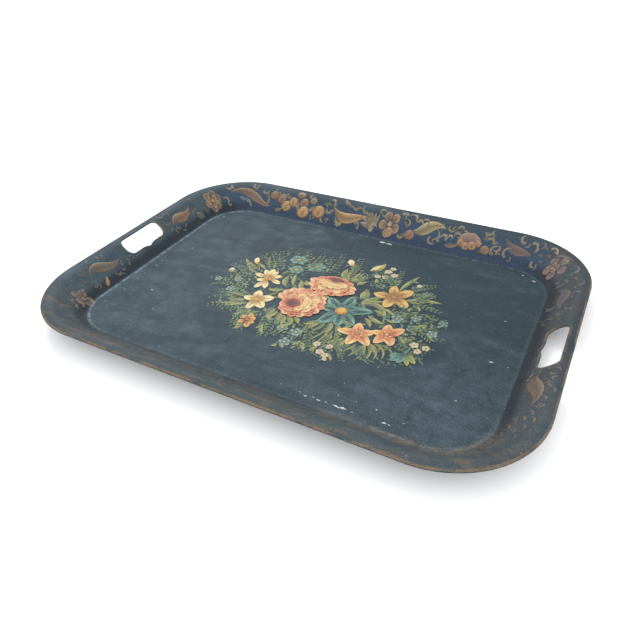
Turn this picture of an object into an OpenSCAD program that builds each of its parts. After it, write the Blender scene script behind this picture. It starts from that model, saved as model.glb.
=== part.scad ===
// Painted serving tray, pressed from one sheet of tinned iron.
// The sheet is rolled over a wire all round its rim and round both hand holes.
// Millimetres. +Z is up, +X runs along the tray, and the origin is on the
// surface it stands on, under its middle.

/* [Tray] */
// Length over the rim bead
tray_l = 710; // [480:1:860]
// Width over the rim bead
tray_w = 513; // [400:1:620]
// Height over the rim
tray_h = 36; // [28:1:50]
// Corner radius at the outside of the rim bead
corner_r = 122; // [100:1:160]

/* [Sheet] */
// Thickness of the sheet
sheet_t = 0.8; // [0.5:0.1:1.2]
// Inside radius of the crease between floor and wall
crease_r = 3; // [1.5:0.5:6]
// Slope of the wall above the floor, in degrees
wall_angle = 41; // [34:1:60]
// Radius of the shoulder between wall and lip, at the middle of the sheet
shoulder_r = 20; // [12:1:28]
// Width of the flat lip between shoulder and bead
lip_w = 4; // [3:0.5:12]

/* [Wired edges] */
// Diameter of the wire in the rim
rim_wire_d = 2.4; // [2:0.1:4]
// Diameter of the wires round the hand holes
grip_wire_d = 1.8; // [1.4:0.1:2.4]
// Room left between each wire and the sheet rolled over it
wire_gap = 0.05; // [0.02:0.01:0.15]
// How far the sheet turns round a wire, in degrees
curl_turn = 290; // [250:5:310]
// Gap where the two ends of the rim wire meet
wire_joint = 1; // [0.5:0.5:4]

/* [Hand holes] */
// Clear length of a hand hole
hole_l = 84; // [68:1:110]
// Clear width of a hand hole, seen from above
hole_w = 22; // [20:0.5:27]
// Corner radius of a hand hole
hole_r = 9.5; // [6:0.5:9.5]
// Distance from the outside of the rim to the hand hole
grip_w = 12; // [10:0.5:15]
// Height of the hand hole's hem above the sheet round it
hem_rise = 0.5; // [0.3:0.1:0.9]
// Depth of the bracket point on a hand hole's inner side
point_d = 3; // [2:0.5:4]
// Width of the bracket point where it leaves that side
point_w = 30; // [20:1:40]
// Radius at the tip of the bracket point
tip_r = 2; // [1.5:0.5:4]

/* [Hidden] */

// The sheet's curl round each wire: its radius to the middle of the sheet, and
// the radius of the finished bead
rim_curl_r = rim_wire_d / 2 + wire_gap + sheet_t / 2;
hem_curl_r = grip_wire_d / 2 + wire_gap + sheet_t / 2;
rim_bead_r = rim_curl_r + sheet_t / 2;
hem_bead_r = hem_curl_r + sheet_t / 2;

// The rim's shape runs along the middle of the sheet: floor, crease, wall,
// shoulder, lip and curl. These distances run outwards from where the line of
// the wall meets the line of the floor.
floor_z = sheet_t / 2;
lip_z = tray_h - sheet_t / 2;
bend_r = crease_r + sheet_t / 2;
bend_reach = bend_r * tan(wall_angle / 2);
shoulder_z = lip_z - shoulder_r * (1 - cos(wall_angle));
shoulder_start = (shoulder_z - floor_z) / tan(wall_angle);
shoulder_end = shoulder_start + shoulder_r * sin(wall_angle);
bead_o = shoulder_end + lip_w;
bead_z = lip_z - rim_curl_r;
rim_w = bead_o + rim_bead_r;

// The corners of the floor, the wall and the rim share their centres.
centre_x = tray_l / 2 - corner_r;
centre_y = tray_w / 2 - corner_r;
floor_r = corner_r - rim_w;
crease_x = tray_l / 2 - rim_w;

// Height and slope of the sheet at a distance outside the crease, for a surface
// that lies d above the middle of the sheet
function surface_z(o, d) =
    o < shoulder_start - d * sin(wall_angle) ? floor_z + o * tan(wall_angle) + d / cos(wall_angle)
    : o < shoulder_end ? lip_z - shoulder_r + sqrt(pow(shoulder_r + d, 2) - pow(shoulder_end - o, 2))
    : lip_z + d;

function slope_at(o, d) =
    o < shoulder_start - d * sin(wall_angle) ? wall_angle
    : o < shoulder_end ? asin((shoulder_end - o) / (shoulder_r + d))
    : 0;

// [outward, up, heading] at points along a bend of the sheet, outward from the
// corner centres. The heading is the direction of travel in degrees, and turn is
// 1 to the left and -1 to the right.
function bend(centre, r, from, to, turn, steps) = [
    for (i = [0 : steps])
        let (h = from + (to - from) * i / steps)
            [centre[0] + turn * r * sin(h), centre[1] - turn * r * cos(h), h]
];

bend_steps = 4;
shoulder_steps = 8;
curl_steps = 18;
profile = concat(
    [[0, floor_z, 0]],
    bend([floor_r - bend_reach, floor_z + bend_r], bend_r, 0, wall_angle, 1, bend_steps),
    bend([floor_r + shoulder_end, lip_z - shoulder_r], shoulder_r, wall_angle, 0, -1, shoulder_steps),
    bend([floor_r + bead_o, bead_z], rim_curl_r, 0, -curl_turn, -1, curl_steps)
);

// A point of the profile moved square to the sheet, to its left
function beside(p, d) = [p[0] - d * sin(p[2]), p[1] + d * cos(p[2])];

function backwards(list) = [for (i = [len(list) - 1 : -1 : 0]) list[i]];

module rim_section() {
    polygon(concat(
        [for (p = profile) beside(p, sheet_t / 2)],
        backwards([for (p = profile) beside(p, -sheet_t / 2)])
    ));
}

// A section carried round the whole rim: two sides, two ends and four corners
module round_the_rim() {
    for (half = [0, 180])
        rotate([0, 0, half]) {
            translate([centre_x, centre_y, 0])
                rotate([90, 0, 0]) linear_extrude(2 * centre_y) children();
            translate([-centre_x, centre_y, 0])
                rotate([90, 0, 90]) linear_extrude(2 * centre_x) children();
            translate([centre_x, centre_y, 0])
                rotate_extrude(angle = 90, $fn = 120) children();
            translate([-centre_x, centre_y, 0])
                rotate([0, 0, 90]) rotate_extrude(angle = 90, $fn = 120) children();
        }
}

// The outline of a hand hole, grown by g into the metal. Its first number runs
// along the tray's end and its second outwards. The bracket point has two
// flanks that curve away from the straight side and a rounded tip.
hole_o = rim_w - grip_w - hole_w / 2;
flank_r = (pow(point_w / 2, 2) + pow(point_d, 2)) / (2 * point_d) - tip_r;
flank_turn = asin(point_w / 2 / (flank_r + tip_r));
corner_steps = 7;
flank_steps = 3;
tip_steps = 4;

function arc(centre, r, from, to, steps) = [
    for (i = [0 : steps])
        let (a = from + (to - from) * i / steps)
            centre + r * [cos(a), sin(a)]
];

// The tip's two end points are those of the flanks.
function without_ends(list) = [for (i = [1 : len(list) - 2]) list[i]];

function hole_outline(g) =
    let (
        a = hole_l / 2 - hole_r,
        b = hole_w / 2 - hole_r,
        inner = -hole_w / 2,
        flank_z = inner - flank_r,
        tip_z = inner - point_d + tip_r
    )
    concat(
        arc([a, b], hole_r + g, 0, 90, corner_steps),
        arc([-a, b], hole_r + g, 90, 180, corner_steps),
        arc([-a, -b], hole_r + g, 180, 270, corner_steps),
        arc([-point_w / 2, flank_z], flank_r - g, 90, 90 - flank_turn, flank_steps),
        without_ends(arc([0, tip_z], tip_r + g, 270 - flank_turn, 270 + flank_turn, tip_steps)),
        arc([point_w / 2, flank_z], flank_r - g, 90 + flank_turn, 90, flank_steps),
        arc([a, -b], hole_r + g, 270, 360, corner_steps)
    );

// The line that the wire of the right-hand hole follows. The hem stands
// hem_rise above the sheet, so the line lies under the middle of the sheet.
hem_drop = hem_bead_r - hem_rise - sheet_t / 2;
hem_line = [
    for (p = hole_outline(hem_bead_r))
        [crease_x + hole_o + p[1], -p[0], surface_z(hole_o + p[1], -hem_drop)]
];

// Square frames along that line: [place, direction into the metal, up]
function unit(v) = v / norm(v);

hem_frames = [
    for (i = [0 : len(hem_line) - 1])
        let (
            n = len(hem_line),
            along = unit(hem_line[(i + 1) % n] - hem_line[(i + n - 1) % n]),
            slope = slope_at(hem_line[i][0] - crease_x, -hem_drop),
            side = unit(cross(along, [-sin(slope), 0, cos(slope)]))
        )
            [hem_line[i], side, cross(side, along)]
];

// A point of a frame's section, at a radius and an angle. At 0 degrees it lies
// into the metal and at 90 degrees above.
function section_point(frame, r, a) = frame[0] + r * (cos(a) * frame[1] + sin(a) * frame[2]);

// A closed section of [radius, angle] points carried round the hand hole
module round_the_hole(section) {
    n = len(hem_frames);
    m = len(section);
    points = [for (f = hem_frames, q = section) section_point(f, q[0], q[1])];
    faces = [
        for (i = [0 : n - 1], j = [0 : m - 1])
            let (i2 = (i + 1) % n, j2 = (j + 1) % m)
                [i * m + j, i * m + j2, i2 * m + j2, i2 * m + j]
    ];
    polyhedron(points, faces, convexity = 10);
}

// The hem: the sheet goes up, over the wire and back under it
hem_from = -20;
hem_steps = 10;

module hem() {
    turns = [for (i = [0 : hem_steps]) hem_from + curl_turn * i / hem_steps];
    round_the_hole(concat(
        [for (a = turns) [hem_bead_r, a]],
        [for (a = backwards(turns)) [hem_bead_r - sheet_t, a]]
    ));
}

// The sheet is cut back to the middle of the hem's wall.
module hole_cut() {
    meets = asin(hem_drop / hem_curl_r);
    linear_extrude(2 * tray_h)
        polygon([
            for (f = hem_frames)
                let (p = section_point(f, hem_curl_r, meets))
                    [p[0], p[1]]
        ]);
}

module at_both_ends() {
    for (half = [0, 180]) rotate([0, 0, half]) children();
}

module tray_pan() {
    color("darkslategray") {
        difference() {
            union() {
                round_the_rim() rim_section();
                translate([-centre_x, -centre_y, 0]) cube([2 * centre_x, 2 * centre_y, sheet_t]);
            }
            at_both_ends() hole_cut();
        }
        at_both_ends() hem();
    }
}

module rim_wire() {
    color("silver")
        difference() {
            round_the_rim()
                translate([floor_r + bead_o, bead_z]) circle(d = rim_wire_d, $fn = 48);
            translate([-wire_joint / 2, 0, 0])
                cube([wire_joint, tray_w, tray_h]);
        }
}

wire_sides = 12;

module right_grip_wire() {
    color("silver")
        round_the_hole([
            for (i = [0 : wire_sides - 1]) [grip_wire_d / 2, i * 360 / wire_sides]
        ]);
}

module left_grip_wire() {
    rotate([0, 0, 180]) right_grip_wire();
}

tray_pan();
rim_wire();
left_grip_wire();
right_grip_wire();
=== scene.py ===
# %% [markdown]
# # A hand-painted metal serving tray
# The tray is one sheet of tinned iron, pressed to shape and rolled over a wire all round
# its rim and round its two hand holes. It was lacquered a dark slate blue, given a bronze
# border, and a loose bouquet was painted on its floor. Years of use have dulled it.
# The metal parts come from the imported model. This lesson adds a smooth sheet, the paint
# as real strokes, the finishes, a pale floor, soft light and a camera.

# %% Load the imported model
import bpy
import bmesh
import numpy as np
from mathutils import Matrix, Vector


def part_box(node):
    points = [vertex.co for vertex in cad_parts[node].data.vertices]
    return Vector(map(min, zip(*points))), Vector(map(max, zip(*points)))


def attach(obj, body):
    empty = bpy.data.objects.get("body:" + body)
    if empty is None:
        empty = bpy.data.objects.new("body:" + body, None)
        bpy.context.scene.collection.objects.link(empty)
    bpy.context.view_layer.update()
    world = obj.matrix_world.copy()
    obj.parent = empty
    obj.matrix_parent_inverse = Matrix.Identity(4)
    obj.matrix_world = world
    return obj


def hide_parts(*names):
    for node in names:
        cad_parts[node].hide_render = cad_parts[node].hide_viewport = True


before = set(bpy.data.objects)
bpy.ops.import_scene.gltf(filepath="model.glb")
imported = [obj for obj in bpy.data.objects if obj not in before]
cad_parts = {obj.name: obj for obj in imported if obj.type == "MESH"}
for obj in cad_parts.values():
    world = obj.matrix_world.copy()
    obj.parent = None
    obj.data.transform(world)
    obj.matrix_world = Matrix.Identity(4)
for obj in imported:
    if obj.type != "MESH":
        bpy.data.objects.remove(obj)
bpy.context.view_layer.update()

# %% [markdown]
# ## Sizes
# The tray's length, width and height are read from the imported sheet. The rest repeats the
# press tool's own sizes, in millimetres: how the wall leans, how the shoulder rounds over
# into the lip, and how the edge rolls round its wire. Working in millimetres keeps the
# numbers readable. They become metres once, when a mesh is made.

# %% Sizes of the tray, in millimetres
MM = 0.001
low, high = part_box("tray_pan")
tray_l, tray_w, tray_h = [round((high[i] - low[i]) / MM) for i in range(3)]
corner_r = 122.0
sheet_t = 0.8
crease_r = 3.0
wall_angle = np.radians(41.0)
shoulder_r = 20.0
lip_w = 4.0
rim_curl_r = 1.65
hem_curl_r = 1.35
curl_turn = 290.0
hem_rise = 0.5

half_t = sheet_t / 2
floor_z, lip_z = half_t, tray_h - half_t
rim_bead_r, hem_bead_r = rim_curl_r + half_t, hem_curl_r + half_t
hem_drop = hem_bead_r - hem_rise - half_t
shoulder_z = lip_z - shoulder_r * (1 - np.cos(wall_angle))
shoulder_start = (shoulder_z - floor_z) / np.tan(wall_angle)
shoulder_end = shoulder_start + shoulder_r * np.sin(wall_angle)
bead_o = shoulder_end + lip_w
bead_z = lip_z - rim_curl_r
rim_w = bead_o + rim_bead_r
floor_r = corner_r - rim_w
centre_x, centre_y = tray_l / 2 - corner_r, tray_w / 2 - corner_r
bend_reach = (crease_r + half_t) * np.tan(wall_angle / 2)
print("tray", tray_l, "x", tray_w, "x", tray_h, "mm, rim", round(rim_w, 2), "mm wide")

# %% [markdown]
# ## The pressed form as a height function
# Seen from above, every point of the rim lies some distance outside the crease where the
# floor turns up. The pressed form depends on that distance alone, so one function gives
# the height of the sheet anywhere. Adding or taking half the thickness, square to the
# sheet, gives its two faces. An old floor is never quite flat, so a few long, shallow
# waves are added inside the crease.

# %% Height of a face of the sheet
def sheet_height(o, d):
    """Height at distance o outside the crease, for the face that lies d above the middle.
    A level floor, a round crease, a straight wall, a round shoulder and a level lip."""
    o = np.asarray(o, float)
    bend = crease_r + half_t - d
    wall_from = -bend_reach + bend * np.sin(wall_angle)
    wall_to = shoulder_start - d * np.sin(wall_angle)
    crease = floor_z + crease_r + half_t - np.sqrt(np.maximum(bend**2 - (o + bend_reach) ** 2, 0))
    wall = floor_z + o * np.tan(wall_angle) + d / np.cos(wall_angle)
    round_r = shoulder_r + d
    shoulder = lip_z - shoulder_r + np.sqrt(np.maximum(round_r**2 - (shoulder_end - o) ** 2, 0))
    zones = [o < -bend_reach, o < wall_from, o < wall_to, o < shoulder_end]
    return np.select(zones, [floor_z + d + 0 * o, crease, wall, shoulder], lip_z + d)


def sheet_slope(o, d):
    """Slope in radians of that face: the wall's angle, then easing to level over the shoulder."""
    o = np.asarray(o, float)
    eased = np.arcsin(np.clip((shoulder_end - o) / (shoulder_r + d), 0, np.sin(wall_angle)))
    return np.where(o < -bend_reach, 0.0, eased)


def floor_wave(x, y):
    """Shallow waves of an old floor: three long cosine products, faded out near the crease."""
    fade_x = np.clip(1 - (np.abs(x) / (centre_x + floor_r - 6)) ** 6, 0, 1)
    fade_y = np.clip(1 - (np.abs(y) / (centre_y + floor_r - 6)) ** 6, 0, 1)
    waves = 0.5 + 0.28 * np.cos(x / 71 + 0.6) * np.cos(y / 58 - 0.4)
    waves = waves + 0.2 * np.cos(x / 33 - y / 90 + 1.1) + 0.1 * np.cos(y / 27 + x / 120)
    return 0.32 * waves * fade_x * fade_y


def plan_distance(x, y):
    """Distance outside the crease of a point seen from above: a rounded box's own distance."""
    qx, qy = np.abs(x) - centre_x, np.abs(y) - centre_y
    outside = np.hypot(np.maximum(qx, 0), np.maximum(qy, 0))
    return outside + np.minimum(np.maximum(qx, qy), 0) - floor_r


print("lip at", sheet_height(shoulder_end + 1, half_t), "wall foot at", sheet_height(0.0, half_t))

# %% [markdown]
# ## Walking round the rim
# The border is painted along the rim, so places on it are easiest to give as a distance
# walked round the tray and a distance out from the crease. The walk starts at the middle
# of the back and goes clockwise seen from above. Straight stretches and quarter turns
# follow each other, and all four corners turn about the same centres at every height.

# %% From a walk round the rim to a place seen from above
turn_len = np.pi / 2 * (floor_r + rim_w / 2)
leg_len = np.array([centre_x, turn_len, 2 * centre_y, turn_len, 2 * centre_x, turn_len,
                    2 * centre_y, turn_len, centre_x])
leg_start = np.concatenate([[0], np.cumsum(leg_len)])
rim_walk = leg_start[-1]
leg_turns = np.array([0, 1, 0, 1, 0, 1, 0, 1, 0])
leg_facing = np.radians([90, 90, 0, 0, -90, -90, -180, -180, -270])
leg_x = np.array([0, centre_x, centre_x, centre_x, centre_x, -centre_x, -centre_x, -centre_x,
    -centre_x])
leg_y = np.array([centre_y, centre_y, centre_y, -centre_y, -centre_y, -centre_y, -centre_y,
    centre_y, centre_y])


def rim_plan(s, o):
    """x, y and the outward direction at walk s and distance o outside the crease.
    On a straight leg the point slides along it. On a turn the direction swings."""
    s = np.mod(np.asarray(s, float), rim_walk)
    leg = np.clip(np.searchsorted(leg_start, s, side="right") - 1, 0, 8)
    along = s - leg_start[leg]
    facing = leg_facing[leg] - leg_turns[leg] * along / turn_len * np.pi / 2
    slide = np.where(leg_turns[leg] == 0, along, 0)
    nx, ny = np.cos(facing), np.sin(facing)
    x = leg_x[leg] + ny * slide + (floor_r + o) * nx
    y = leg_y[leg] - nx * slide + (floor_r + o) * ny
    return x, y, nx, ny


print("walk round the rim:", round(rim_walk), "mm")

# %% [markdown]
# ## Making meshes from grids
# A surface worked out on a grid of two parameters becomes a mesh by joining neighbours
# with quads. These helpers build the whole index array at once, gather several grids into
# one mesh, and merge the seams where grids meet.

# %% Grid and mesh helpers
def grid_quads(rows, cols, wrap=False, start=0):
    """Quads between neighbours of a rows by cols grid, closed along the columns if wrap."""
    i, j = np.meshgrid(np.arange(rows - 1), np.arange(cols if wrap else cols - 1), indexing="ij")
    j2 = (j + 1) % cols
    quads = np.stack([i * cols + j, i * cols + j2, (i + 1) * cols + j2, (i + 1) * cols + j], -1)
    return quads.reshape(-1, 4) + start


def make_piece(name, points, quads, colours=None, merge=None, sharp=None):
    """A mesh object at the origin from points in millimetres, with its faces outwards."""
    mesh = bpy.data.meshes.new(name)
    mesh.from_pydata((np.asarray(points) * MM).tolist(), [], np.asarray(quads).tolist())
    for label, values in (colours or {}).items():
        kind, field = {1: ("FLOAT", "value"), 3: ("FLOAT_VECTOR", "vector"),
                       4: ("FLOAT_COLOR", "color")}[values.size // len(values)]
        layer = mesh.attributes.new(label, kind, "POINT")
        layer.data.foreach_set(field, values.ravel())
    if merge:
        shell = bmesh.new()
        shell.from_mesh(mesh)
        bmesh.ops.remove_doubles(shell, verts=shell.verts, dist=merge * MM)
        bmesh.ops.recalc_face_normals(shell, faces=shell.faces)
        shell.to_mesh(mesh)
        shell.free()
    mesh.shade_smooth()
    if sharp:
        mesh.set_sharp_from_angle(angle=np.radians(sharp))
    piece = bpy.data.objects.new(name, mesh)
    bpy.context.scene.collection.objects.link(piece)
    return piece


def open_edges(piece):
    """How many edges don't have exactly two faces."""
    shell = bmesh.new()
    shell.from_mesh(piece.data)
    count = sum(1 for e in shell.edges if len(e.link_faces) != 2)
    shell.free()
    return count


# %% [markdown]
# ## The sheet
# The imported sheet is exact, but its bends are made of flats that catch the light. Here the
# same form is carried round the tray on a fine grid: out across the upper face, round the
# curl, and back along the lower face, so the sheet keeps its real thickness. Round each
# hand hole the grid leaves a window, and a second grid fills it with rings that change
# from the window's rectangle to the hole's outline and then roll over the hem's wire.

# %% Samples along the sheet's section
def spaced(*stops):
    """Values through (start, end, steps) stretches, joined without repeats."""
    runs = [np.linspace(a, b, n, endpoint=False) for a, b, n in stops]
    return np.concatenate(runs + [[stops[-1][1]]])


window_in, window_out = 9.5, 50.0
crease_to = -bend_reach + crease_r * np.sin(wall_angle) + 0.6
out_line = spaced((-floor_r, -bend_reach, 9), (-bend_reach, crease_to, 6),
    (crease_to, window_in, 3), (window_in, shoulder_start, 10), (shoulder_start, window_out, 9),
    (window_out, bead_o, 2))
curl = np.radians(90 - np.linspace(0, curl_turn, 25))[1:]
section_o = np.concatenate([out_line, bead_o + rim_bead_r * np.cos(curl),
    (bead_o + (rim_bead_r - sheet_t) * np.cos(curl))[::-1], out_line[::-1]])
upper_z, lower_z = sheet_height(out_line, half_t), sheet_height(out_line, -half_t)
section_z = np.concatenate([upper_z, bead_z + rim_bead_r * np.sin(curl),
                            (bead_z + (rim_bead_r - sheet_t) * np.sin(curl))[::-1], lower_z[::-1]])
# On the curl the underside share starts above the middle of its outer side, so the bead's outer
# side takes the dark lower-face colour as painted shade.
section_under = np.concatenate([0 * out_line, np.clip((0.45 - np.sin(curl)) * 2, 0, 1),
                                0 * curl + 1, 0 * out_line + 1])
upper_edge = np.clip((out_line - bead_o + 1.0) / 1.0, 0, 1)
section_edge = np.concatenate([upper_edge, np.clip(0.2 + 1.2 * np.sin(curl), 0, 1), 0 * curl,
    0 * out_line])
print("section has", len(section_o), "points")

# %% Samples along the walk, with lines at the edges of the hand holes' windows
window_y = 55.0
end_mid = leg_start[2] + centre_y
end_walk = spaced((leg_start[2], end_mid - window_y, 16),
    (end_mid - window_y, end_mid + window_y, 30), (end_mid + window_y, leg_start[3], 16))
front_walk = spaced((leg_start[4], leg_start[5], 60))
half_walk = np.concatenate([end_walk[:-1], spaced((leg_start[3], leg_start[4], 26))[:-1],
                            front_walk[:-1], spaced((leg_start[5], leg_start[6], 26))[:-1]])
walk = np.mod(np.concatenate([half_walk, half_walk + rim_walk / 2]), rim_walk)
from_middle = [walk - end_mid, walk - end_mid - rim_walk / 2]

# %% The rim grid, with its two windows left open
gx, gy, _, _ = rim_plan(walk[:, None] + 0 * section_o, section_o + 0 * walk[:, None])
gz = section_z + 0 * gx + floor_wave(gx, gy) * (plan_distance(gx, gy) < 0)
rim_points = np.stack([gx, gy, gz], -1).reshape(-1, 3)
rim_under = (section_under + 0 * gx).ravel()
rim_edge = (section_edge + 0 * gx).ravel()
cols = len(section_o)
i, j = np.meshgrid(np.arange(len(walk)), np.arange(cols - 1), indexing="ij")
i2 = (i + 1) % len(walk)
rim_quads = np.stack([i * cols + j, i2 * cols + j, i2 * cols + j + 1, i * cols + j + 1],
    -1).reshape(-1, 4)
quad_o = section_o[:-1] / 2 + section_o[1:] / 2
on_skin = (j < len(out_line) - 1) | (j >= cols - len(out_line))
in_span = (quad_o[j] > window_in) & (quad_o[j] < window_out)
middle_of_quad = [np.interp(i + 0.5, np.arange(len(walk) + 1),
    np.append(m, m[0])) for m in from_middle]
step_ok = (np.abs(walk[i2] - walk[i]) < 50)
in_window = on_skin & in_span & step_ok & (
    (np.abs(middle_of_quad[0]) < window_y) | (np.abs(middle_of_quad[1]) < window_y))
rim_quads = rim_quads[~in_window.ravel()]
print("rim grid:", len(rim_points), "points,", int(in_window.sum()), "quads left open")

# %% [markdown]
# ## The hand holes
# Each hole is a long rounded slot. Its inner side dips to a shallow bracket point, a
# decorative touch that also gives the fingertips a place. The outline is a chain of arcs.
# Every sample keeps its own direction into the metal, so the hem can be carried along it.

# %% The outline of a hand hole
hole_l, hole_w, hole_r = 84.0, 22.0, 9.5
grip_w = 12.0
point_d, point_w, tip_r = 3.0, 30.0, 2.0
hole_o = rim_w - grip_w - hole_w / 2
flank_r = ((point_w / 2) ** 2 + point_d**2) / (2 * point_d) - tip_r
flank_turn = np.degrees(np.arcsin(point_w / 2 / (flank_r + tip_r)))


def arc(cx, cy, r, start, stop, n, into=1):
    """Points on an arc with their direction into the metal: outwards, or inwards if into is -1."""
    a = np.radians(np.linspace(start, stop, n))
    return np.stack([cx + r * np.cos(a), cy + r * np.sin(a), into * np.cos(a), into * np.sin(a)],
        -1)


def hole_outline():
    """[along the end, outwards, direction] round the hole, split at the middles of its corners."""
    a, b, inner = hole_l / 2 - hole_r, hole_w / 2 - hole_r, -hole_w / 2
    flank_y, tip_y = inner - flank_r, inner - point_d + tip_r
    outer_side = np.concatenate([arc(a, b, hole_r, 45, 90, 12), arc(-a, b, hole_r, 90, 135, 12)])
    left_end = np.concatenate([arc(-a, b, hole_r, 135, 180, 12),
        arc(-a, -b, hole_r, 180, 225, 12)])
    inner_side = np.concatenate([
        arc(-a, -b, hole_r, 225, 270, 12),
        arc(-point_w / 2, flank_y, flank_r, 90, 90 - flank_turn, 12, -1),
        arc(0, tip_y, tip_r, 270 - flank_turn, 270 + flank_turn, 9),
        arc(point_w / 2, flank_y, flank_r, 90 + flank_turn, 90, 12, -1),
        arc(a, -b, hole_r, 270, 315, 12)])
    right_end = np.concatenate([arc(a, -b, hole_r, 315, 360, 12), arc(a, b, hole_r, 0, 45, 12)])
    return outer_side, left_end, inner_side, right_end


def resample(run, n):
    """n samples at equal steps along a run, without its last point."""
    step = np.hypot(*np.diff(run[:, :2], axis=0).T)
    along = np.concatenate([[0], np.cumsum(step)])
    at = np.linspace(0, along[-1], n, endpoint=False)
    return np.stack([np.interp(at, along, run[:, k]) for k in range(4)], -1)


# %% The rings that fill a window and roll over the hem's wire
def window_rings():
    """Rings of [x, y, z, underside] for the right-hand hole: the window's edge on the upper
    face, rings that close in on the hole, the hem's outer and inner turns, and back out."""
    ys = end_walk[(end_walk > end_mid - window_y - 1e-6) & (end_walk < end_mid + window_y + 1e-6)]
    ys = end_mid - ys
    os = out_line[(out_line > window_in - 1e-6) & (out_line < window_out + 1e-6)]
    sides = [np.stack([ys, ys * 0 + window_out], -1)[:-1],
             np.stack([os * 0 + ys[-1], os[::-1]], -1)[:-1],
             np.stack([ys[::-1], ys * 0 + window_in], -1)[:-1],
             np.stack([os * 0 + ys[0], os], -1)[:-1]]
    edge = np.concatenate(sides)
    runs = hole_outline()
    counts = [len(side) for side in sides]
    hole = np.concatenate([resample(run, n) for run, n in zip(runs, counts)])
    into = hole[:, 2:] / np.hypot(hole[:, 2], hole[:, 3])[:, None]
    # The outline's first number runs along the end, towards +y.
    line_y, line_o = hole[:, 0] + hem_bead_r * into[:, 0], hole_o + hole[:,
        1] + hem_bead_r * into[:, 1]
    crease_x = tray_l / 2 - rim_w
    line = np.stack([crease_x + line_o, line_y, sheet_height(line_o, -hem_drop)], -1)
    slope = sheet_slope(line_o, -hem_drop)
    face = np.stack([-np.sin(slope), 0 * slope, np.cos(slope)], -1)
    along = np.roll(line, -1, 0) - np.roll(line, 1, 0)
    along /= np.linalg.norm(along, axis=1)[:, None]
    side = np.cross(along, face)
    side /= np.linalg.norm(side, axis=1)[:, None]
    plan_into = np.stack([into[:, 1], into[:, 0], 0 * slope], -1)
    side *= np.sign(np.sum(side * plan_into, -1))[:, None]
    up = np.cross(along, side)
    up *= np.sign(up[:, 2])[:, None]

    def turned(r, degrees):
        a = np.radians(degrees)
        return line + r * (np.cos(a) * side + np.sin(a) * up)

    def skin(d, ring, share):
        mixed = edge * (1 - share) + ring * share
        return np.stack([crease_x + mixed[:, 1], mixed[:, 0], sheet_height(mixed[:, 1], d)], -1)

    top_meet = np.degrees(np.arcsin((hem_drop + half_t) / hem_bead_r))
    low_meet = np.degrees(np.arcsin((hem_drop - half_t) / hem_bead_r))
    top_ring, low_ring = turned(hem_bead_r, top_meet), turned(hem_bead_r, low_meet)
    shares = np.linspace(0, 1, 9)
    to_param = lambda ring: np.stack([ring[:, 1], ring[:, 0] - crease_x], -1)
    rings = [skin(half_t, to_param(top_ring), t) for t in shares]
    hem_end = -20 + curl_turn
    rings += [turned(hem_bead_r, a) for a in np.linspace(top_meet, hem_end, 15)[1:]]
    rings += [turned(hem_bead_r - sheet_t, a) for a in np.linspace(hem_end, -20, 14)]
    rings += [turned(hem_bead_r, a) for a in (-20, low_meet)]
    rings += [skin(-half_t, to_param(low_ring), t) for t in shares[::-1][1:]]
    rings = np.array(rings)
    under = np.concatenate([np.zeros(len(shares) + 8), np.ones(len(rings) - len(shares) - 8)])
    edge_share = np.concatenate([np.zeros(len(shares) - 1), np.linspace(0.6, 1, 9),
                                 np.zeros(len(rings) - len(shares) - 8)])
    return rings, under, edge_share


rings, ring_under, ring_edge = window_rings()
print("window:", rings.shape[0], "rings of", rings.shape[1], "points")

# %% The floor's two faces, on lines that meet the rim grid's
floor_x = front_walk - front_walk.mean()
floor_y = end_walk - end_walk.mean()
fx, fy = np.meshgrid(floor_x, floor_y, indexing="ij")
floor_top = np.stack([fx, fy, sheet_t + floor_wave(fx, fy)], -1).reshape(-1, 3)
floor_low = np.stack([fx, fy, floor_wave(fx, fy)], -1).reshape(-1, 3)

# %% Join the grids into one closed sheet
blocks, quads, under, start = [rim_points], [rim_quads], [rim_under], len(rim_points)
edges = [rim_edge]
for flip in (1, -1):
    ring_points = rings.reshape(-1, 3) * [flip, flip, 1]
    blocks.append(ring_points)
    quads.append(grid_quads(rings.shape[0], rings.shape[1], wrap=True, start=start))
    under.append(np.repeat(ring_under, rings.shape[1]))
    edges.append(np.repeat(ring_edge, rings.shape[1]))
    start += len(ring_points)
for face_points, is_under in ((floor_top, 0.0), (floor_low, 1.0)):
    blocks.append(face_points)
    quads.append(grid_quads(len(floor_x), len(floor_y), start=start))
    under.append(np.full(len(face_points), is_under))
    edges.append(np.zeros(len(face_points)))
    start += len(face_points)
painted_sheet = make_piece("painted_sheet", np.concatenate(blocks), np.concatenate(quads),
                           {"under": np.concatenate(under), "edge": np.concatenate(edges)},
                           merge=0.02, sharp=60)
print("sheet:", len(painted_sheet.data.polygons), "faces, open edges:", open_edges(painted_sheet))
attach(painted_sheet, "root")
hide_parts("tray_pan")

# %% [markdown]
# ## Helpers for finishes
# A finish is a small network of nodes. These helpers keep each network short enough to
# read: one adds a node and fills its sockets, and the others name the steps that come up
# again and again, such as a noise at a given grain or a soft mask between two values.
# Patterns read the object's own coordinates in millimetres, so a grain of 0.5 means
# features about two millimetres across wherever they lie.

# %% Node helpers
def tint(red, green, blue):
    """A colour from display values of 0 to 255, as the linear light that nodes work in."""
    c = np.array([red, green, blue]) / 255
    return tuple(np.where(c < 0.04045, c / 12.92, ((c + 0.055) / 1.055) ** 2.4)) + (1.0,)


def add(tree, kind, sockets=(), **settings):
    """Adds a shader node, sets its settings, and links or fills the sockets given."""
    node = tree.nodes.new("ShaderNode" + kind)
    for key, value in settings.items():
        setattr(node, key, value)
    for key, value in dict(sockets).items():
        value = getattr(value, "socket", value)
        if isinstance(value, bpy.types.NodeSocket):
            tree.links.new(value, node.inputs[key])
        else:
            node.inputs[key].default_value = value
    return node


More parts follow.
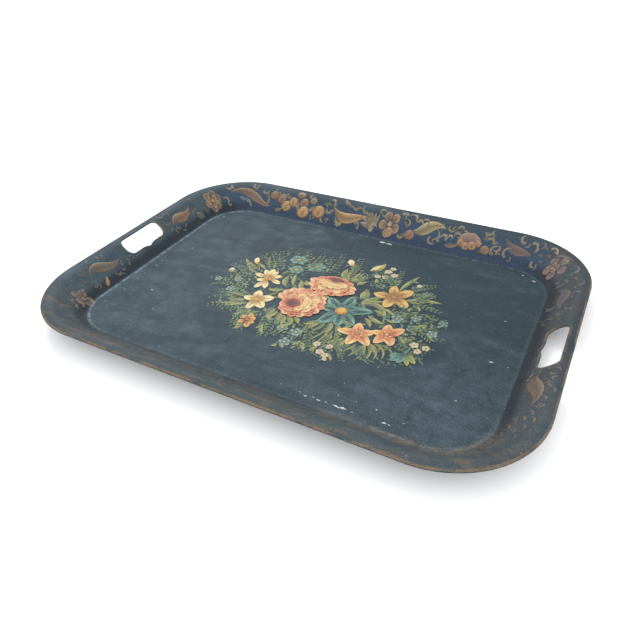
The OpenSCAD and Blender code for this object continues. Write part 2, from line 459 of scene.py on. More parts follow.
class Signal:
    """A value that varies over the surface and takes part in arithmetic as a number does."""

    def __init__(self, tree, socket):
        self.tree, self.socket = tree, socket

    def calc(self, operation, a, b=0.0, clamp=False):
        """One step of arithmetic."""
        node = add(self.tree, "Math", {0: a, 1: b}, operation=operation, use_clamp=clamp)
        return Signal(self.tree, node.outputs[0])

    def __add__(self, other):
        return self.calc("ADD", self, other)

    def __sub__(self, other):
        return self.calc("SUBTRACT", self, other)

    def __rsub__(self, other):
        return self.calc("SUBTRACT", other, self)

    def __mul__(self, other):
        return self.calc("MULTIPLY", self, other)

    def most(self, other, clamp=False):
        """The greater of two values."""
        return self.calc("MAXIMUM", self, other, clamp)

    def between(self, start, stop):
        """0 at start, 1 at stop, and a smooth change from one to the other."""
        sockets = {"Value": self, "From Min": start, "From Max": stop}
        node = add(self.tree, "MapRange", sockets, interpolation_type="SMOOTHSTEP")
        return Signal(self.tree, node.outputs["Result"])


class Finish:
    """A material in the making: its nodes, its shader and places in millimetres."""

    def __init__(self, name, colour):
        self.material, self.colour = bpy.data.materials.new(name), colour
        self.material.use_nodes = True
        self.tree = self.material.node_tree
        self.tree.nodes.clear()
        self.surface = add(self.tree, "BsdfPrincipled")
        add(self.tree, "OutputMaterial", {"Surface": self.surface.outputs[0]})
        own = add(self.tree, "TexCoord").outputs["Object"]
        self.places = self.vector("SCALE", own, "Scale", 1000.0)

    def vector(self, operation, where, key, value):
        """Places scaled, or multiplied along each axis."""
        return add(self.tree, "VectorMath", {0: where, key: value}, operation=operation).outputs[0]

    def attribute(self, name, output="Fac"):
        """A value stored on the mesh's points."""
        return Signal(self.tree, add(self.tree, "Attribute", attribute_name=name).outputs[output])

    def grain(self, scale, detail=4.0, roughness=0.55, distortion=0.0, where=None):
        """Cloudy noise from 0 to 1, with features about 1/scale across."""
        sockets = {"Vector": where or self.places, "Scale": scale, "Detail": detail,
                   "Roughness": roughness, "Distortion": distortion}
        return Signal(self.tree, add(self.tree, "TexNoise", sockets).outputs["Fac"])

    def cracks(self, scale):
        """1 along the edges of an uneven cell pattern and 0 inside its cells."""
        cells = add(self.tree, "TexVoronoi", {"Vector": self.places, "Scale": scale},
                    feature="DISTANCE_TO_EDGE")
        return Signal(self.tree, cells.outputs["Distance"]).between(0.05, 0.0)

    def grey(self, value):
        """A value as a grey colour."""
        return add(self.tree, "CombineXYZ", {0: value, 1: value, 2: value}).outputs[0]

    def blend(self, amount, a, b, how="MIX"):
        """Colour a with colour b laid over it by amount."""
        sockets = {0: amount, 6: a, 7: b}
        return add(self.tree, "Mix", sockets, data_type="RGBA", blend_type=how).outputs[2]

    def lay(self, colour, amount, how="MIX"):
        """Lays a colour over the finish so far."""
        self.colour = self.blend(amount, self.colour, colour, how)

    def finished(self, roughness, relief, strength, depth):
        """Joins colour, roughness and relief to the shader. depth is in metres."""
        bump = add(self.tree, "Bump", {"Height": relief, "Strength": strength, "Distance": depth})
        for label, value in (("Base Color", self.colour), ("Roughness", roughness.socket),
                             ("Normal", bump.outputs[0])):
            self.tree.links.new(value, self.surface.inputs[label])
        return self.material


# %% [markdown]
# ## The lacquer
# The ground is a dark slate-blue lacquer over tinned iron. It is not one colour. It is
# hazy where trays were slid over it, darker at the wall's foot where shade is painted in,
# worn pale along the crease, rubbed brown on the front slope and down to gilding on the
# edges, and flecked with dust and tiny chips. Each of these is a mask worked out from the
# distance outside the crease, from the place on the tray or from noise, and is laid on in
# turn. The outer side of the rolled edge is given the lower face's dark colour, as painted shade.

# %% Distance outside the crease, and flecks, as nodes
def crease_distance(finish):
    """The rounded box's distance in millimetres, by the same steps as plan_distance."""
    flat = add(finish.tree, "SeparateXYZ", {0: finish.places})
    x, y = [Signal(finish.tree, flat.outputs[k]) for k in (0, 1)]
    qx = x.calc("ABSOLUTE", x) - float(centre_x)
    qy = y.calc("ABSOLUTE", y) - float(centre_y)
    px, py = qx.most(0.0), qy.most(0.0)
    squares = px * px + py * py
    inside = qx.calc("MINIMUM", qx.most(qy), 0.0)
    return x, y, squares.calc("SQRT", squares) + inside - float(floor_r)


def flecks(finish, scale, size, share):
    """Tiny spots: one place in each cell of a flat cell pattern, kept in a share of the cells."""
    cells = add(finish.tree, "TexVoronoi", {"Vector": finish.places, "Scale": scale},
                voronoi_dimensions="2D")
    distance = Signal(finish.tree, cells.outputs["Distance"])
    lot = add(finish.tree, "SeparateColor", {0: cells.outputs["Color"]}).outputs[0]
    spot = distance.calc("LESS_THAN", distance, size * scale)
    return spot * distance.calc("LESS_THAN", lot, share)


# %% The lacquer's finish
# The third colour here is painted shade for the wall's foot.
slate, haze, wall_foot_shade = tint(33, 47, 54), tint(66, 80, 88), tint(29, 33, 38)
rim_wash, back_blue = tint(62, 73, 78), tint(48, 64, 86)
front_grey, end_brown = tint(56, 65, 68), tint(62, 57, 54)
rubbed_brown, scuffed, gilding = tint(96, 82, 68), tint(114, 102, 86), tint(104, 90, 68)
worn_pale, dust_grey, bare_primer = tint(122, 134, 143), tint(104, 118, 126), tint(196, 202, 200)
lower_coat, rust = tint(40, 43, 45), tint(80, 56, 42)


def lacquer_finish():
    """Slate lacquer with haze, a painted shade band at the wall's foot, a worn crease, rubbed
    edges and flecks.
    """
    f = Finish("slate_lacquer", slate)
    x, y, o = crease_distance(f)
    under, edge = f.attribute("under"), f.attribute("edge")
    swept = f.vector("MULTIPLY", f.places, 1, (0.6, 1.5, 1.0))
    broad = f.grain(0.012, 5.0, 0.6, 1.4, swept)
    cloud, fine = f.grain(0.045, 5.0, 0.6), f.grain(0.9, 3.0, 0.7)
    dust = f.grain(0.42, 6.0, 0.75)

    # Haze: more towards the left, the front and the front right, in soft clouds.
    frosted = x.between(20.0, 200.0) * y.between(-40.0, -150.0)
    haze_here = x.between(190.0, -300.0) * 0.42 + y.between(160.0, -200.0) * 0.16
    haze_here = haze_here + (broad - 0.47) * 2.1 + frosted * 0.42
    f.lay(haze, (haze_here * cloud.between(0.05, 0.7)).most(0.05, clamp=True))

    # The rim's own wash: bluer along the back, greyer in front and browner at the right.
    on_rim, on_wall = o.between(10.0, 24.0) * o.between(52.0, 34.0), o.between(-1.0, 2.0)
    f.lay(rim_wash, on_rim * 0.5)
    f.lay(back_blue, on_wall * y.between(176.0, 206.0) * (o.between(46.0, 20.0) * 0.75))
    f.lay(front_grey, on_wall * y.between(-176.0, -206.0) * 0.6)
    f.lay(end_brown, on_wall * x.between(262.0, 306.0) * (cloud.between(0.3, 0.6) * 0.5))

    # The painted shade: a dark band at the wall's foot, strongest at the ends of the tray.
    band = o.between(-0.5, 2.5) * o.between(17.0, 8.0)
    at_ends = x.calc("ABSOLUTE", x).between(236.0, 300.0)
    f.lay(wall_foot_shade, band * (at_ends * 0.6 + 0.25))

    # Brown rubbing on the front slope, in long streaks.
    lengthwise = f.vector("MULTIPLY", f.places, 1, (0.28, 1.0, 1.0))
    streaks = f.grain(0.085, 6.0, 0.72, 0.6, lengthwise).between(0.46, 0.62)
    at_front = y.between(-150.0, -212.0) * o.between(-3.0, 3.0)
    f.lay(rubbed_brown, streaks * at_front * 0.5)

    # A scuffed patch along the crease in the front right-hand corner.
    in_corner = x.between(60.0, 190.0) * y.between(-120.0, -190.0)
    by_crease = o.between(-9.0, -2.0) * o.between(26.0, 4.0)
    scuffs = f.grain(0.42, 6.0, 0.75, 0.8, lengthwise).between(0.42, 0.6)
    f.lay(scuffed, scuffs * (in_corner * by_crease) * 0.85)

    # The pale worn line along the crease, strongest on the left.
    on_line = o.between(-5.6, -2.6) * o.between(0.6, -2.0)
    worn_sides = x.between(-200.0, -290.0).most(y.between(150.0, 196.0) * 0.28)
    worn_sides = worn_sides.most(y.between(-150.0, -196.0) * 0.22).most(0.1)
    line = on_line * worn_sides * f.grain(0.12).between(0.34, 0.66)
    f.lay(worn_pale, line * 0.72)

    # Gilding left on the rolled edges: most on the right, in front and at the left hole.
    left_hem = x.between(-296.0, -306.0) * y.between(4.0, 34.0)
    left_hem = left_hem * (y.between(62.0, 52.0) * o.between(50.0, 46.0))
    gilt_sides = x.between(200.0, 330.0).most(y.between(-120.0, -230.0)).most(left_hem)
    patchy = f.grain(0.05, 5.0, 0.62).between(0.36, 0.56)
    gilt = edge * (gilt_sides * 0.95).most(0.28) * patchy
    f.lay(gilding, gilt)

    # Grain of dust, fine sparkle and chips.
    value = ((fine - 0.5) * 1.5 + 1.0) * ((dust - 0.5) * 1.5 + 1.0)
    shade = f.grey(value * ((cloud - 0.5) * 0.34 + 1.0))
    f.lay(shade, 1.0, "MULTIPLY")
    sparkle = f.grain(0.85, 3.0, 0.7).between(0.5, 0.74)
    f.lay(dust_grey, sparkle * (frosted * 0.26 + 0.26))
    specks = flecks(f, 0.06, 0.34, 0.1).most(flecks(f, 0.021, 0.6, 0.12))
    f.lay(bare_primer, specks * 0.8)

    # The lower face: plain, more worn, with a little rust coming through. The same dark colour on
    # the rolled edge's outer side is painted shade.
    rust_here = f.grain(0.03, 6.0, 0.7).between(0.52, 0.66) * 0.65
    lower_face = f.blend(rust_here, lower_coat, rust)
    f.lay(f.blend(1.0, lower_face, shade, "MULTIPLY"), under)

    f.surface.inputs["Specular IOR Level"].default_value = 0.12
    crazing = f.cracks(0.22) * cloud.between(0.45, 0.65)
    relief = fine * 0.5 + dust * 0.8 - crazing * 0.5 - specks * 1.2
    return f.finished(dust * 0.26 + 0.42 + under * 0.12 - gilt * 0.1, relief, 0.55, 0.0001)


slate_lacquer = lacquer_finish()
painted_sheet.data.materials.append(slate_lacquer)
print("lacquer nodes:", len(slate_lacquer.node_tree.nodes))

# %% [markdown]
# ## The wires
# The wires lie inside the rolled edges and show only as a dark line in the seam below.
# They are drawn iron, dull with age: grey metal with fine draw lines and rusty clouds.

# %% The wires' finish
def iron_wire_finish():
    """Dull grey iron with rust in clouds and a fine uneven surface."""
    f = Finish("drawn_iron", tint(120, 118, 114))
    clouds, fine = f.grain(0.12, 6.0, 0.7).between(0.42, 0.6), f.grain(2.2, 4.0, 0.7)
    f.lay(tint(150, 148, 142), fine)
    f.lay(tint(92, 60, 40), clouds * 0.7)
    f.tree.links.new((0.9 - clouds * 0.6).socket, f.surface.inputs["Metallic"])
    return f.finished(clouds * 0.35 + 0.35, fine, 0.5, 0.00005)


drawn_iron = iron_wire_finish()
for wire in ("rim_wire", "left_grip_wire", "right_grip_wire"):
    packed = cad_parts[wire]
    for place in packed.material_slots:
        place.material = drawn_iron
    if not packed.material_slots:
        packed.data.materials.append(drawn_iron)
print("wires finished")

# %% [markdown]
# ## Paint as real strokes
# A decorator builds a flower from single strokes of a loaded brush: a stroke starts,
# swells and tapers, one side of it lighter than the other. Here each stroke is a thin
# closed sheet of dried paint. Its middle line is a smooth curve through a few given
# places, its half-width follows a named shape, and its colour runs from root to tip. As
# real geometry the strokes keep crisp edges in every view. Each later stroke lies a
# hair higher, as wet paint laid over dry does.

# %% Shapes of a brushstroke
STROKE_SHAPES = {
    "petal": lambda u: np.sin(np.pi * u**1.45) ** 0.62,
    "round": lambda u: np.sqrt(np.clip(1 - (2 * u - 1) ** 2, 0, 1)),
    "leaf": lambda u: np.sin(np.pi * u**0.85) ** 1.15,
    "point": lambda u: np.sin(np.pi * u**0.8) ** 0.85 * (1 - 0.25 * u),
    "comma": lambda u: u**0.42 * (1 - u) ** 0.9 / 0.43,
    "blade": lambda u: u**0.3 * (1 - u) ** 0.8 / 0.53,
    "line": lambda u: np.sin(np.pi * u) ** 0.35,
    "lily": lambda u: (u + 0.02) ** 0.32 * (1 - u) ** 0.62 / 0.55,
    "broad": lambda u: np.sin(np.pi * (0.06 + 0.94 * u) ** 0.95) ** 0.55,
    "ruffle": lambda u: np.sin(np.pi * u**1.5) ** 0.6 * (1 + 0.10 * np.sin(11 * u) * u),
}
rng = np.random.default_rng(7)
any_heading = 6.28

# How far a stroke swells above its lift, how far it reaches below it, and how much higher
# the next stroke lies.
stroke_swell, stroke_depth, paint_step = 0.02, 0.006, 0.008
fine_grid, coarse_grid = (17, 9), (9, 5)


def through(places, t):
    """A smooth curve led by its places: a blend of all of them with Bernstein weights."""
    places = np.asarray(places, float)
    n = len(places) - 1
    k = np.arange(n + 1)
    choose = np.array([1.0, *np.cumprod((n - k[:-1]) / (k[:-1] + 1))])
    weights = choose * t[:, None] ** k * (1 - t[:, None]) ** (n - k)
    return weights @ places


def on_floor(flat, lift):
    """Floor places [x, y] lifted above the sheet's upper face."""
    x, y = flat[:, 0], flat[:, 1]
    return np.stack([x, y, sheet_t + floor_wave(x, y) + lift], -1)


def on_rim(flat, lift):
    """Rim places [walk, out] lifted square to the upper face."""
    s, o = flat[:, 0], flat[:, 1]
    x, y, nx, ny = rim_plan(s, o)
    slope = sheet_slope(o, half_t)
    return np.stack([x - nx * np.sin(slope) * lift, y - ny * np.sin(slope) * lift,
                     sheet_height(o, half_t) + np.cos(slope) * lift], -1)


motifs = []


class Motif:
    """One painted motif: strokes gathered into a single piece of dried paint."""

    def __init__(self, name, surface=on_floor, lift=0.03):
        self.name, self.surface, self.lift = name, surface, lift
        motifs.append(self)
        self.points, self.quads, self.paint, self.wear, self.bristle = [], [], [], [], []
        self.start = 0

    def stroke(self, places, half, shape, root, tip, edge=None, side=None, wear=0.25, fine=True):
        """Adds a stroke. Its grid runs from root to tip and from one side to the other."""
        rows, cols = fine_grid if fine else coarse_grid
        u = (1 - np.cos(np.linspace(0, np.pi, rows))) / 2
        v = np.linspace(1, -1, cols)
        middle = through(places, u)
        ahead = np.gradient(middle, u, axis=0)
        ahead /= np.linalg.norm(ahead, axis=1)[:, None] + 1e-9
        across = np.stack([-ahead[:, 1], ahead[:, 0]], -1)
        width = half * STROKE_SHAPES[shape](np.clip(u, 0, 1)) + 0.02
        flat = middle[:, None] + v[None, :, None] * (width[:, None] * across)[:, None]
        dome = (1 - v[None] ** 2) * np.sin(np.pi * np.clip(u, 0.02, 0.98))[:, None] ** 0.4
        top = self.surface(flat.reshape(-1, 2), self.lift + stroke_swell * dome.ravel())
        low = self.surface(flat.reshape(-1, 2), self.lift - stroke_depth)
        self.lift += paint_step
        count = rows * cols
        number = np.arange(count).reshape(rows, cols) + self.start
        rim = np.concatenate([number[0, :], number[1:, -1], number[-1, -2::-1],
            number[-2:0:-1, 0]])
        after = np.roll(rim, -1)
        walls = np.stack([rim, rim + count, after + count, after], -1)
        upper = grid_quads(rows, cols, start=self.start)
        self.quads += [upper, upper[:, ::-1] + count, walls]
        self.points += [top, low]
        self.start += 2 * count
        ease = (u**2 * (3 - 2 * u))[:, None, None]
        colour = np.array(root)[:3] * (1 - ease) + np.array(tip)[:3] * ease + 0 * v[None, :, None]
        if side is not None:
            share = np.clip(v[None, :, None] * 0.9, 0, 1) * np.ones((rows, 1, 1))
            colour = colour * (1 - share) + np.array(side)[:3] * share
        if edge is not None:
            rimness = np.maximum(np.abs(v)[None] ** 4 * (u[:, None] > 0.25), (u[:, None] ** 9))
            colour = colour + (np.array(edge)[:3] - colour) * (0.8 * rimness)[..., None]
        stripe = 1 + 0.10 * np.sin(v * 9 + rng.uniform(0,
            6)) + 0.05 * np.sin(v * 23 + rng.uniform(0, 6))
        colour = colour * stripe[None, :, None] * rng.uniform(0.93, 1.07)
        full = np.concatenate([colour.reshape(-1, 3), np.ones((count, 1))], -1)
        length = np.linalg.norm(np.diff(middle, axis=0), axis=1).sum()
        lines = np.stack([v[None] * width[:, None] + rng.uniform(0, 90),
            u[:, None] * length + 0 * v, 0 * u[:, None] * v + rng.uniform(0, 90)],
            -1).reshape(-1, 3)
        self.paint += [full, full]
        self.wear += [np.full(2 * count, wear)]
        self.bristle += [lines, lines]

    def touch(self, places, half, shape, root, tip, wear):
        """A small stroke on a coarser grid."""
        self.stroke(places, half, shape, root, tip, wear=wear, fine=False)

    def dot(self, x, y, r, colour, edge=None, wear=0.25, squash=1.0, fine=False):
        """A round dab with its centre at x, y."""
        self.stroke([(x - r * squash, y), (x + r * squash, y)], r, "round", colour, colour, edge,
            wear=wear, fine=fine)

    def finish(self, material):
        """Makes the piece, gives it its finish and lets it ride on the tray."""
        data = {"paint": np.concatenate(self.paint), "wear": np.concatenate(self.wear),
                "bristle": np.concatenate(self.bristle)}
        piece = make_piece(self.name, np.concatenate(self.points), np.concatenate(self.quads),
            data)
        piece.data.materials.append(material)
        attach(piece, "root")


# %% [markdown]
# ## Finishes for the paint
# The bouquet is matt oil colour, with bristle lines along each stroke, a fine crackle and
# rubbed spots where the ground comes back. The border is bronze powder in varnish: a
# little metallic and much more worn. Both read the colour, the wear and the brush lines
# that each stroke carries, so one finish serves every motif.

# %% The paint's finishes
def paint_finish(name, metallic, rub_scale, shine, film):
    """Each stroke's own colour with bristle lines, crackle, and wear down to the ground.
    film is the share of the dull grey film that lies over the colour."""
    f = Finish(name, None)
    f.colour = f.attribute("paint", "Color").socket
    wear, bristle = f.attribute("wear"), f.attribute("bristle", "Vector").socket
    bristles = f.grain(1.0, 3.0, 0.6, where=f.vector("MULTIPLY", bristle, 1, (2.4, 0.16, 1.0)))
    dabs, fine = f.grain(0.16, 4.0, 0.6), f.grain(0.8, 4.0, 0.7)
    f.lay(f.grey(bristles * 0.36 + 0.40 + dabs * 0.32), 1.0, "MULTIPLY")
    f.lay(tint(56, 56, 48), fine.between(0.48, 0.7) * 0.22)
    f.lay(tint(92, 98, 102), film)
    rub = f.grain(rub_scale, 6.0, 0.72) * 0.75 + bristles * 0.25
    gone = (rub - (0.78 - wear * 0.42)).between(0.0, 0.07)
    f.lay(tint(50, 59, 65), gone)
    f.surface.inputs["Metallic"].default_value = metallic
    f.surface.inputs["Specular IOR Level"].default_value = 0.35
    relief = bristles * 0.9 + fine - f.cracks(0.55) - gone
    return f.finished(fine * 0.2 + shine, relief, 0.5, 0.00008)


oil_paint = paint_finish("oil_paint", 0.0, 0.22, 0.42, 0.08)
bronze_paint = paint_finish("bronze_paint", 0.25, 0.13, 0.34, 0.24)

# %% The palette
cream, pale_yellow = tint(226, 208, 158), tint(208, 186, 112)
ochre, orange, deep_orange = tint(204, 158, 70), tint(214, 150, 78), tint(186, 108, 52)
blush, salmon, rose_red, heart_red = tint(224, 172, 126), tint(206, 126, 92), tint(184, 84,
    68), tint(104, 42, 40)
teal, pale_teal, deep_teal = tint(70, 116, 104), tint(108, 150, 128), tint(42, 82, 82)
olive, light_olive, moss, forest = tint(126, 130, 66), tint(176, 168, 92), tint(88, 106,
    60), tint(58, 80, 62)
blossom = tint(214, 200, 164)
print("finishes and palette ready")

# %% [markdown]
# ## Petals, leaves and sprigs
# A petal is three strokes: the body from the heart outwards, a lighter stroke down one
# side where the brush was pressed, and a thin dark one where it left the heart. A leaf is
# a body with one pale half and a vein. Sprigs and grasses fill the gaps in a few quick
# touches. These helpers take only a few places and colours, because a painter thinks so too.

# %% Painting helpers
def bowed(a, b, bow):
    """Three places from a to b, the middle one pushed to the left by a share of the length."""
    a, b = np.array(a, float), np.array(b, float)
    d = b - a
    return [a, (a + b) / 2 + bow * 2 * np.array([-d[1], d[0]]), b]


def petal(m, base, tip, half, tones, bow=0.0, shape="petal", wear=0.2, fine=True):
    """A body stroke, a light stroke on its left and a short shade from the base.
    tones are the base, tip, edge and light colours."""
    base, tip = np.array(base, float), np.array(tip, float)
    d = tip - base
    left = np.array([-d[1], d[0]]) / np.hypot(*d)
    m.stroke(bowed(base, tip, bow), half, shape, tones[0], tones[1], edge=tones[2], wear=wear,
        fine=fine)
    a, b = base + 0.30 * d + left * half * 0.42, base + 0.95 * d + left * half * 0.25
    m.stroke(bowed(a, b, bow + 0.06), half * 0.34, "leaf", tones[1], tones[3], wear=wear,
        fine=fine)
    a, b = base + 0.34 * d - left * half * 0.42, base + 0.9 * d - left * half * 0.38
    m.touch(bowed(a, b, bow - 0.05), half * 0.16, "leaf", tones[1], tones[3], wear)
    m.touch(bowed(base, base + 0.55 * d, bow), half * 0.16, "blade", tones[0] * np.array(0.75),
        tones[0], wear)


def leaf(m, base, tip, half, tones=None, bow=0.0, wear=0.35, fine=True):
    """A leaf with a pale left half, a vein and, on a fine leaf, short side strokes."""
    dark, middle, light = tones or (moss, olive, light_olive)
    base, tip = np.array(base, float), np.array(tip, float)
    d = tip - base
    m.stroke(bowed(base, tip, bow), half, "leaf", dark, middle, side=light, wear=wear, fine=fine)
    m.touch(bowed(base, base + 0.92 * d, bow), max(half * 0.08, 0.22), "line", light, light, wear)
    if fine:
        left = np.array([-d[1], d[0]]) / np.hypot(*d)
        for at in (0.35, 0.55, 0.75):
            start = base + at * d + bow * 0.9 * np.array([-d[1], d[0]])
            m.touch(bowed(start, start + 0.13 * d + left * half * 0.6, -0.1), 0.3, "blade", light,
                middle, wear)
            m.touch(bowed(start, start + 0.13 * d - left * half * 0.6, 0.1), 0.3, "blade", middle,
                dark, wear)


def blade(m, places, half, tones=None, wear=0.35):
    """A grass blade along a curve, dark at its root and pale along one side."""
    dark, middle, light = tones or (moss, olive, light_olive)
    m.stroke(places, half, "blade", dark, middle, side=light, wear=wear)


def sprig(m, places, count, size, dark, light, wear=0.45):
    """A thin stem with small leaves in pairs that shrink towards its tip."""
    places = np.array(places, float)
    m.touch(places, 0.35, "line", dark, dark, wear)
    at = np.linspace(0.18, 1.0, count)
    nodes, ahead = through(places, at), through(places, np.minimum(at + 0.02, 1.02))
    for k in range(count):
        d = ahead[k] - nodes[k]
        d /= np.hypot(*d) + 1e-9
        for side in (1, -1):
            turn = side * rng.uniform(0.65, 1.05)
            way = np.array([d[0] * np.cos(turn) - d[1] * np.sin(turn),
                d[0] * np.sin(turn) + d[1] * np.cos(turn)])
            long = size * (1.15 - 0.55 * at[k]) * rng.uniform(0.75, 1.2)
            m.touch(bowed(nodes[k], nodes[k] + way * long, 0.1 * side),
                long * rng.uniform(0.17, 0.26), "leaf", dark, light, wear)


def little_flower(m, x, y, r, tones, heart, count=5, wear=0.3, turn=None):
    """Round dabs set about a heart, each with a lighter touch at its outer edge."""
    start = rng.uniform(0, any_heading) if turn is None else turn
    for a in start + np.arange(count) / count * 2 * np.pi + rng.uniform(-0.12, 0.12, count):
        way = np.array([np.cos(a), np.sin(a)])
        far = r * rng.uniform(0.88, 1.08)
        m.stroke([way * far * 0.12 + [x, y], way * far + [x, y]], r * 0.40, "petal", tones[0],
            tones[1], edge=tones[2], wear=wear, fine=False)
        m.touch([way * far * 0.5 + [x, y], way * far * 0.92 + [x, y]], r * 0.13, "round", tones[2],
            tones[2], wear)
    m.dot(x, y, r * 0.22, heart, wear=wear)
    m.dot(x - r * 0.06, y + r * 0.06, r * 0.09, pale_yellow, wear=wear)


fifth_turn = 1.2566


def blossom_dabs(m, x, y, r, tones, wear=0.25):
    """A small pale blossom of loose dabs with a warm middle."""
    for a in rng.uniform(0, any_heading) + np.arange(5) * fifth_turn:
        m.dot(x + 0.62 * r * np.cos(a), y + 0.62 * r * np.sin(a), r * rng.uniform(0.36, 0.48),
            tones[0], edge=tones[1], wear=wear, squash=rng.uniform(0.8, 1.2))
    m.dot(x, y, r * 0.22, tones[2], wear=wear)


def dots(m, places, r, colour, wear):
    """A round dab of one size at each place."""
    for x, y in places:
        m.dot(x, y, r, colour, wear=wear)


def comma(m, places, half, tones, wear):
    """A comma stroke in a set's first two colours."""
    m.stroke(places, half, "comma", tones[0], tones[1], wear=wear)


def tint_of(colour, share):
    """The colour made darker or lighter."""
    return tuple(np.array(colour[:3]) * share) + (1.0,)


# %% [markdown]
# ## Ferns, sprigs and grass
# The bouquet is bedded in dull green. Broken sprigs reach out on all sides, so that its
# outline is loose, and they are painted first, with thin, worn colour. A fixed seed keeps
# every leaf in its place from run to run.

# %% Sprigs round the edge
fern_dark, fern_light = tint(72, 96, 78), tint(122, 140, 96)
sprig_plan = {"west": [[(-108, 6), (-140, 22), (-170, 26)], [(-104, -4), (-140, -8), (-176, -22)],
    [(-108, -20), (-138, -22), (-164, -36)], [(-112, 12), (-140, 2), (-166, 4)],
    [(-106, 18), (-126, 28), (-158, 40)]], "southwest": [[(-92, -34), (-122, -44), (-146, -68)],
    [(-84, -50), (-112, -66), (-136, -84)], [(-96, -38), (-124, -34), (-142, -46)],
    [(-70, -62), (-92, -80), (-116, -78)], [(-100, -26), (-126, -28), (-158, -26)]],
    "northwest": [[(-84, 36), (-100, 62), (-116, 92)], [(-76, 44), (-82, 76), (-94, 108)],
    [(-94, 32), (-116, 56), (-138, 66)], [(-60, 52), (-60, 82), (-74, 112)],
    [(-90, 40), (-112, 70), (-128, 84)], [(-52, 62), (-42, 92), (-50, 116)]],
    "north": [[(-24, 58), (-24, 86), (-34, 110)], [(-14, 62), (-10, 96), (-18, 126)],
    [(30, 62), (44, 84), (62, 104)], [(52, 58), (70, 76), (86, 96)],
    [(-34, 52), (-44, 76), (-40, 100)], [(20, 66), (18, 96), (16, 124)]],
    "northeast": [[(88, 66), (92, 92), (88, 118)], [(116, 72), (128, 90), (146, 100)],
    [(126, 44), (150, 44), (174, 40)], [(120, 56), (140, 72), (148, 80)],
    [(96, 74), (78, 92), (66, 98)], [(132, 50), (146, 62), (152, 76)]],
    "east": [[(112, 20), (144, 26), (186, 24)], [(112, 4), (150, 4), (192, 10)],
    [(120, -6), (160, -4), (196, -18)], [(132, -32), (158, -30), (190, -44)],
    [(108, 12), (134, 14), (160, 18)], [(96, 30), (118, 32), (142, 32)],
    [(140, -10), (166, -14), (184, -26)]], "southeast": [[(138, -50), (160, -56), (184, -66)],
    [(140, -44), (164, -44), (184, -54)], [(96, -72), (108, -92), (128, -100)],
    [(84, -72), (86, -98), (94, -112)]], "south": [[(14, -66), (16, -94), (2, -122)],
    [(34, -62), (38, -96), (28, -118)], [(54, -66), (58, -92), (72, -120)],
    [(-6, -62), (-8, -92), (-14, -104)], [(66, -72), (80, -92), (90, -106)],
    [(24, -60), (30, -88), (46, -112)]], "southsouthwest": [[(-44, -62), (-40, -92), (-30, -112)],
    [(-60, -64), (-74, -96), (-60, -116)], [(-52, -60), (-64, -82), (-84, -94)],
    [(-28, -64), (-26, -90), (-24, -108)], [(-66, -70), (-88, -92), (-76, -110)]],}
for side, plan in sprig_plan.items():
    m = Motif("sprigs_" + side, lift=0.02)
    for places in plan:
        dark = tint_of(fern_dark, rng.uniform(0.7, 1.25))
        sprig(m, places, rng.integers(7, 10), rng.uniform(7.5, 10.5), dark,
            tint_of(fern_light, rng.uniform(0.75, 1.15)), 0.55)

# %% Loose touches of green between the sprigs
bed = [("bed_west", -128, 2, 44, 50), ("bed_southwest", -98, -58, 44, 32),
    ("bed_northwest", -88, 66, 48, 42), ("bed_north", 4, 88, 56, 34),
    ("bed_northeast", 112, 62, 52, 44), ("bed_east", 150, -4, 44, 40),
    ("bed_southeast", 132, -72, 54, 30), ("bed_south", 40, -86, 56, 34),
    ("bed_middle", -54, -30, 50, 60), ("bed_right_middle", 84, 8, 40, 60)]
for name, cx, cy, wide, tall in bed:
    m = Motif(name, lift=0.012)
    angles, reach = rng.uniform(0, any_heading, 46), rng.uniform(0.05, 1, 46) ** 0.5
    for a, r, turn in zip(angles, reach, rng.uniform(0, any_heading, 46)):
        x, y = cx + wide * r * np.cos(a), cy + tall * r * np.sin(a)
        way = np.array([np.cos(turn), np.sin(turn)]) * rng.uniform(5, 12)
        green = [fern_dark, forest, moss, tint(70, 100, 96)][rng.integers(0, 4)]
        m.touch(bowed((x, y), (x, y) + way, rng.uniform(-0.15, 0.15)), rng.uniform(0.9, 2.1),
            "leaf", tint_of(green, 0.8), tint_of(green, 1.35), 0.55)
print("green bed:", len(motifs), "motifs")

# %% Small bright leaves tucked between the sprigs
for name, cx, cy, wide, tall, many in (("tucked_west", -122, -6, 44, 44, 26),
        ("tucked_southwest", -92, -66, 44, 28, 22), ("tucked_northwest", -84, 70, 44, 34, 24),
        ("tucked_north", 8, 84, 54, 26, 20), ("tucked_northeast", 112, 66, 48, 38, 18),
        ("tucked_east", 146, 4, 44, 36, 30), ("tucked_southeast", 150, -52, 40, 26, 12),
        ("tucked_south", 30, -84, 54, 28, 34), ("tucked_middle", 86, -6, 34, 30, 16),
        ("tucked_left_middle", -58, 6, 34, 34, 16)):
    m = Motif(name, lift=0.1)
    angles, reach = rng.uniform(0, any_heading, many), rng.uniform(0.1, 1, many) ** 0.5
    for a, r, turn in zip(angles, reach, rng.uniform(0, any_heading, many)):
        x, y = cx + wide * r * np.cos(a), cy + tall * r * np.sin(a)
        way = np.array([np.cos(turn), np.sin(turn)]) * rng.uniform(6, 11)
        tones = [(moss, olive, light_olive), (forest, moss, olive),
            (tint(74, 100, 66), tint(126, 140, 84), tint(168, 170, 108)),
            (tint(60, 92, 84), tint(96, 128, 104), tint(128, 156, 124))][rng.integers(0, 4)]
        share = rng.uniform(0.75, 1.05)
        leaf(m, (x, y), (x, y) + way, rng.uniform(1.5, 2.6),
            tuple(tint_of(tone, share) for tone in tones), rng.uniform(-0.15, 0.15), 0.45,
            fine=False)

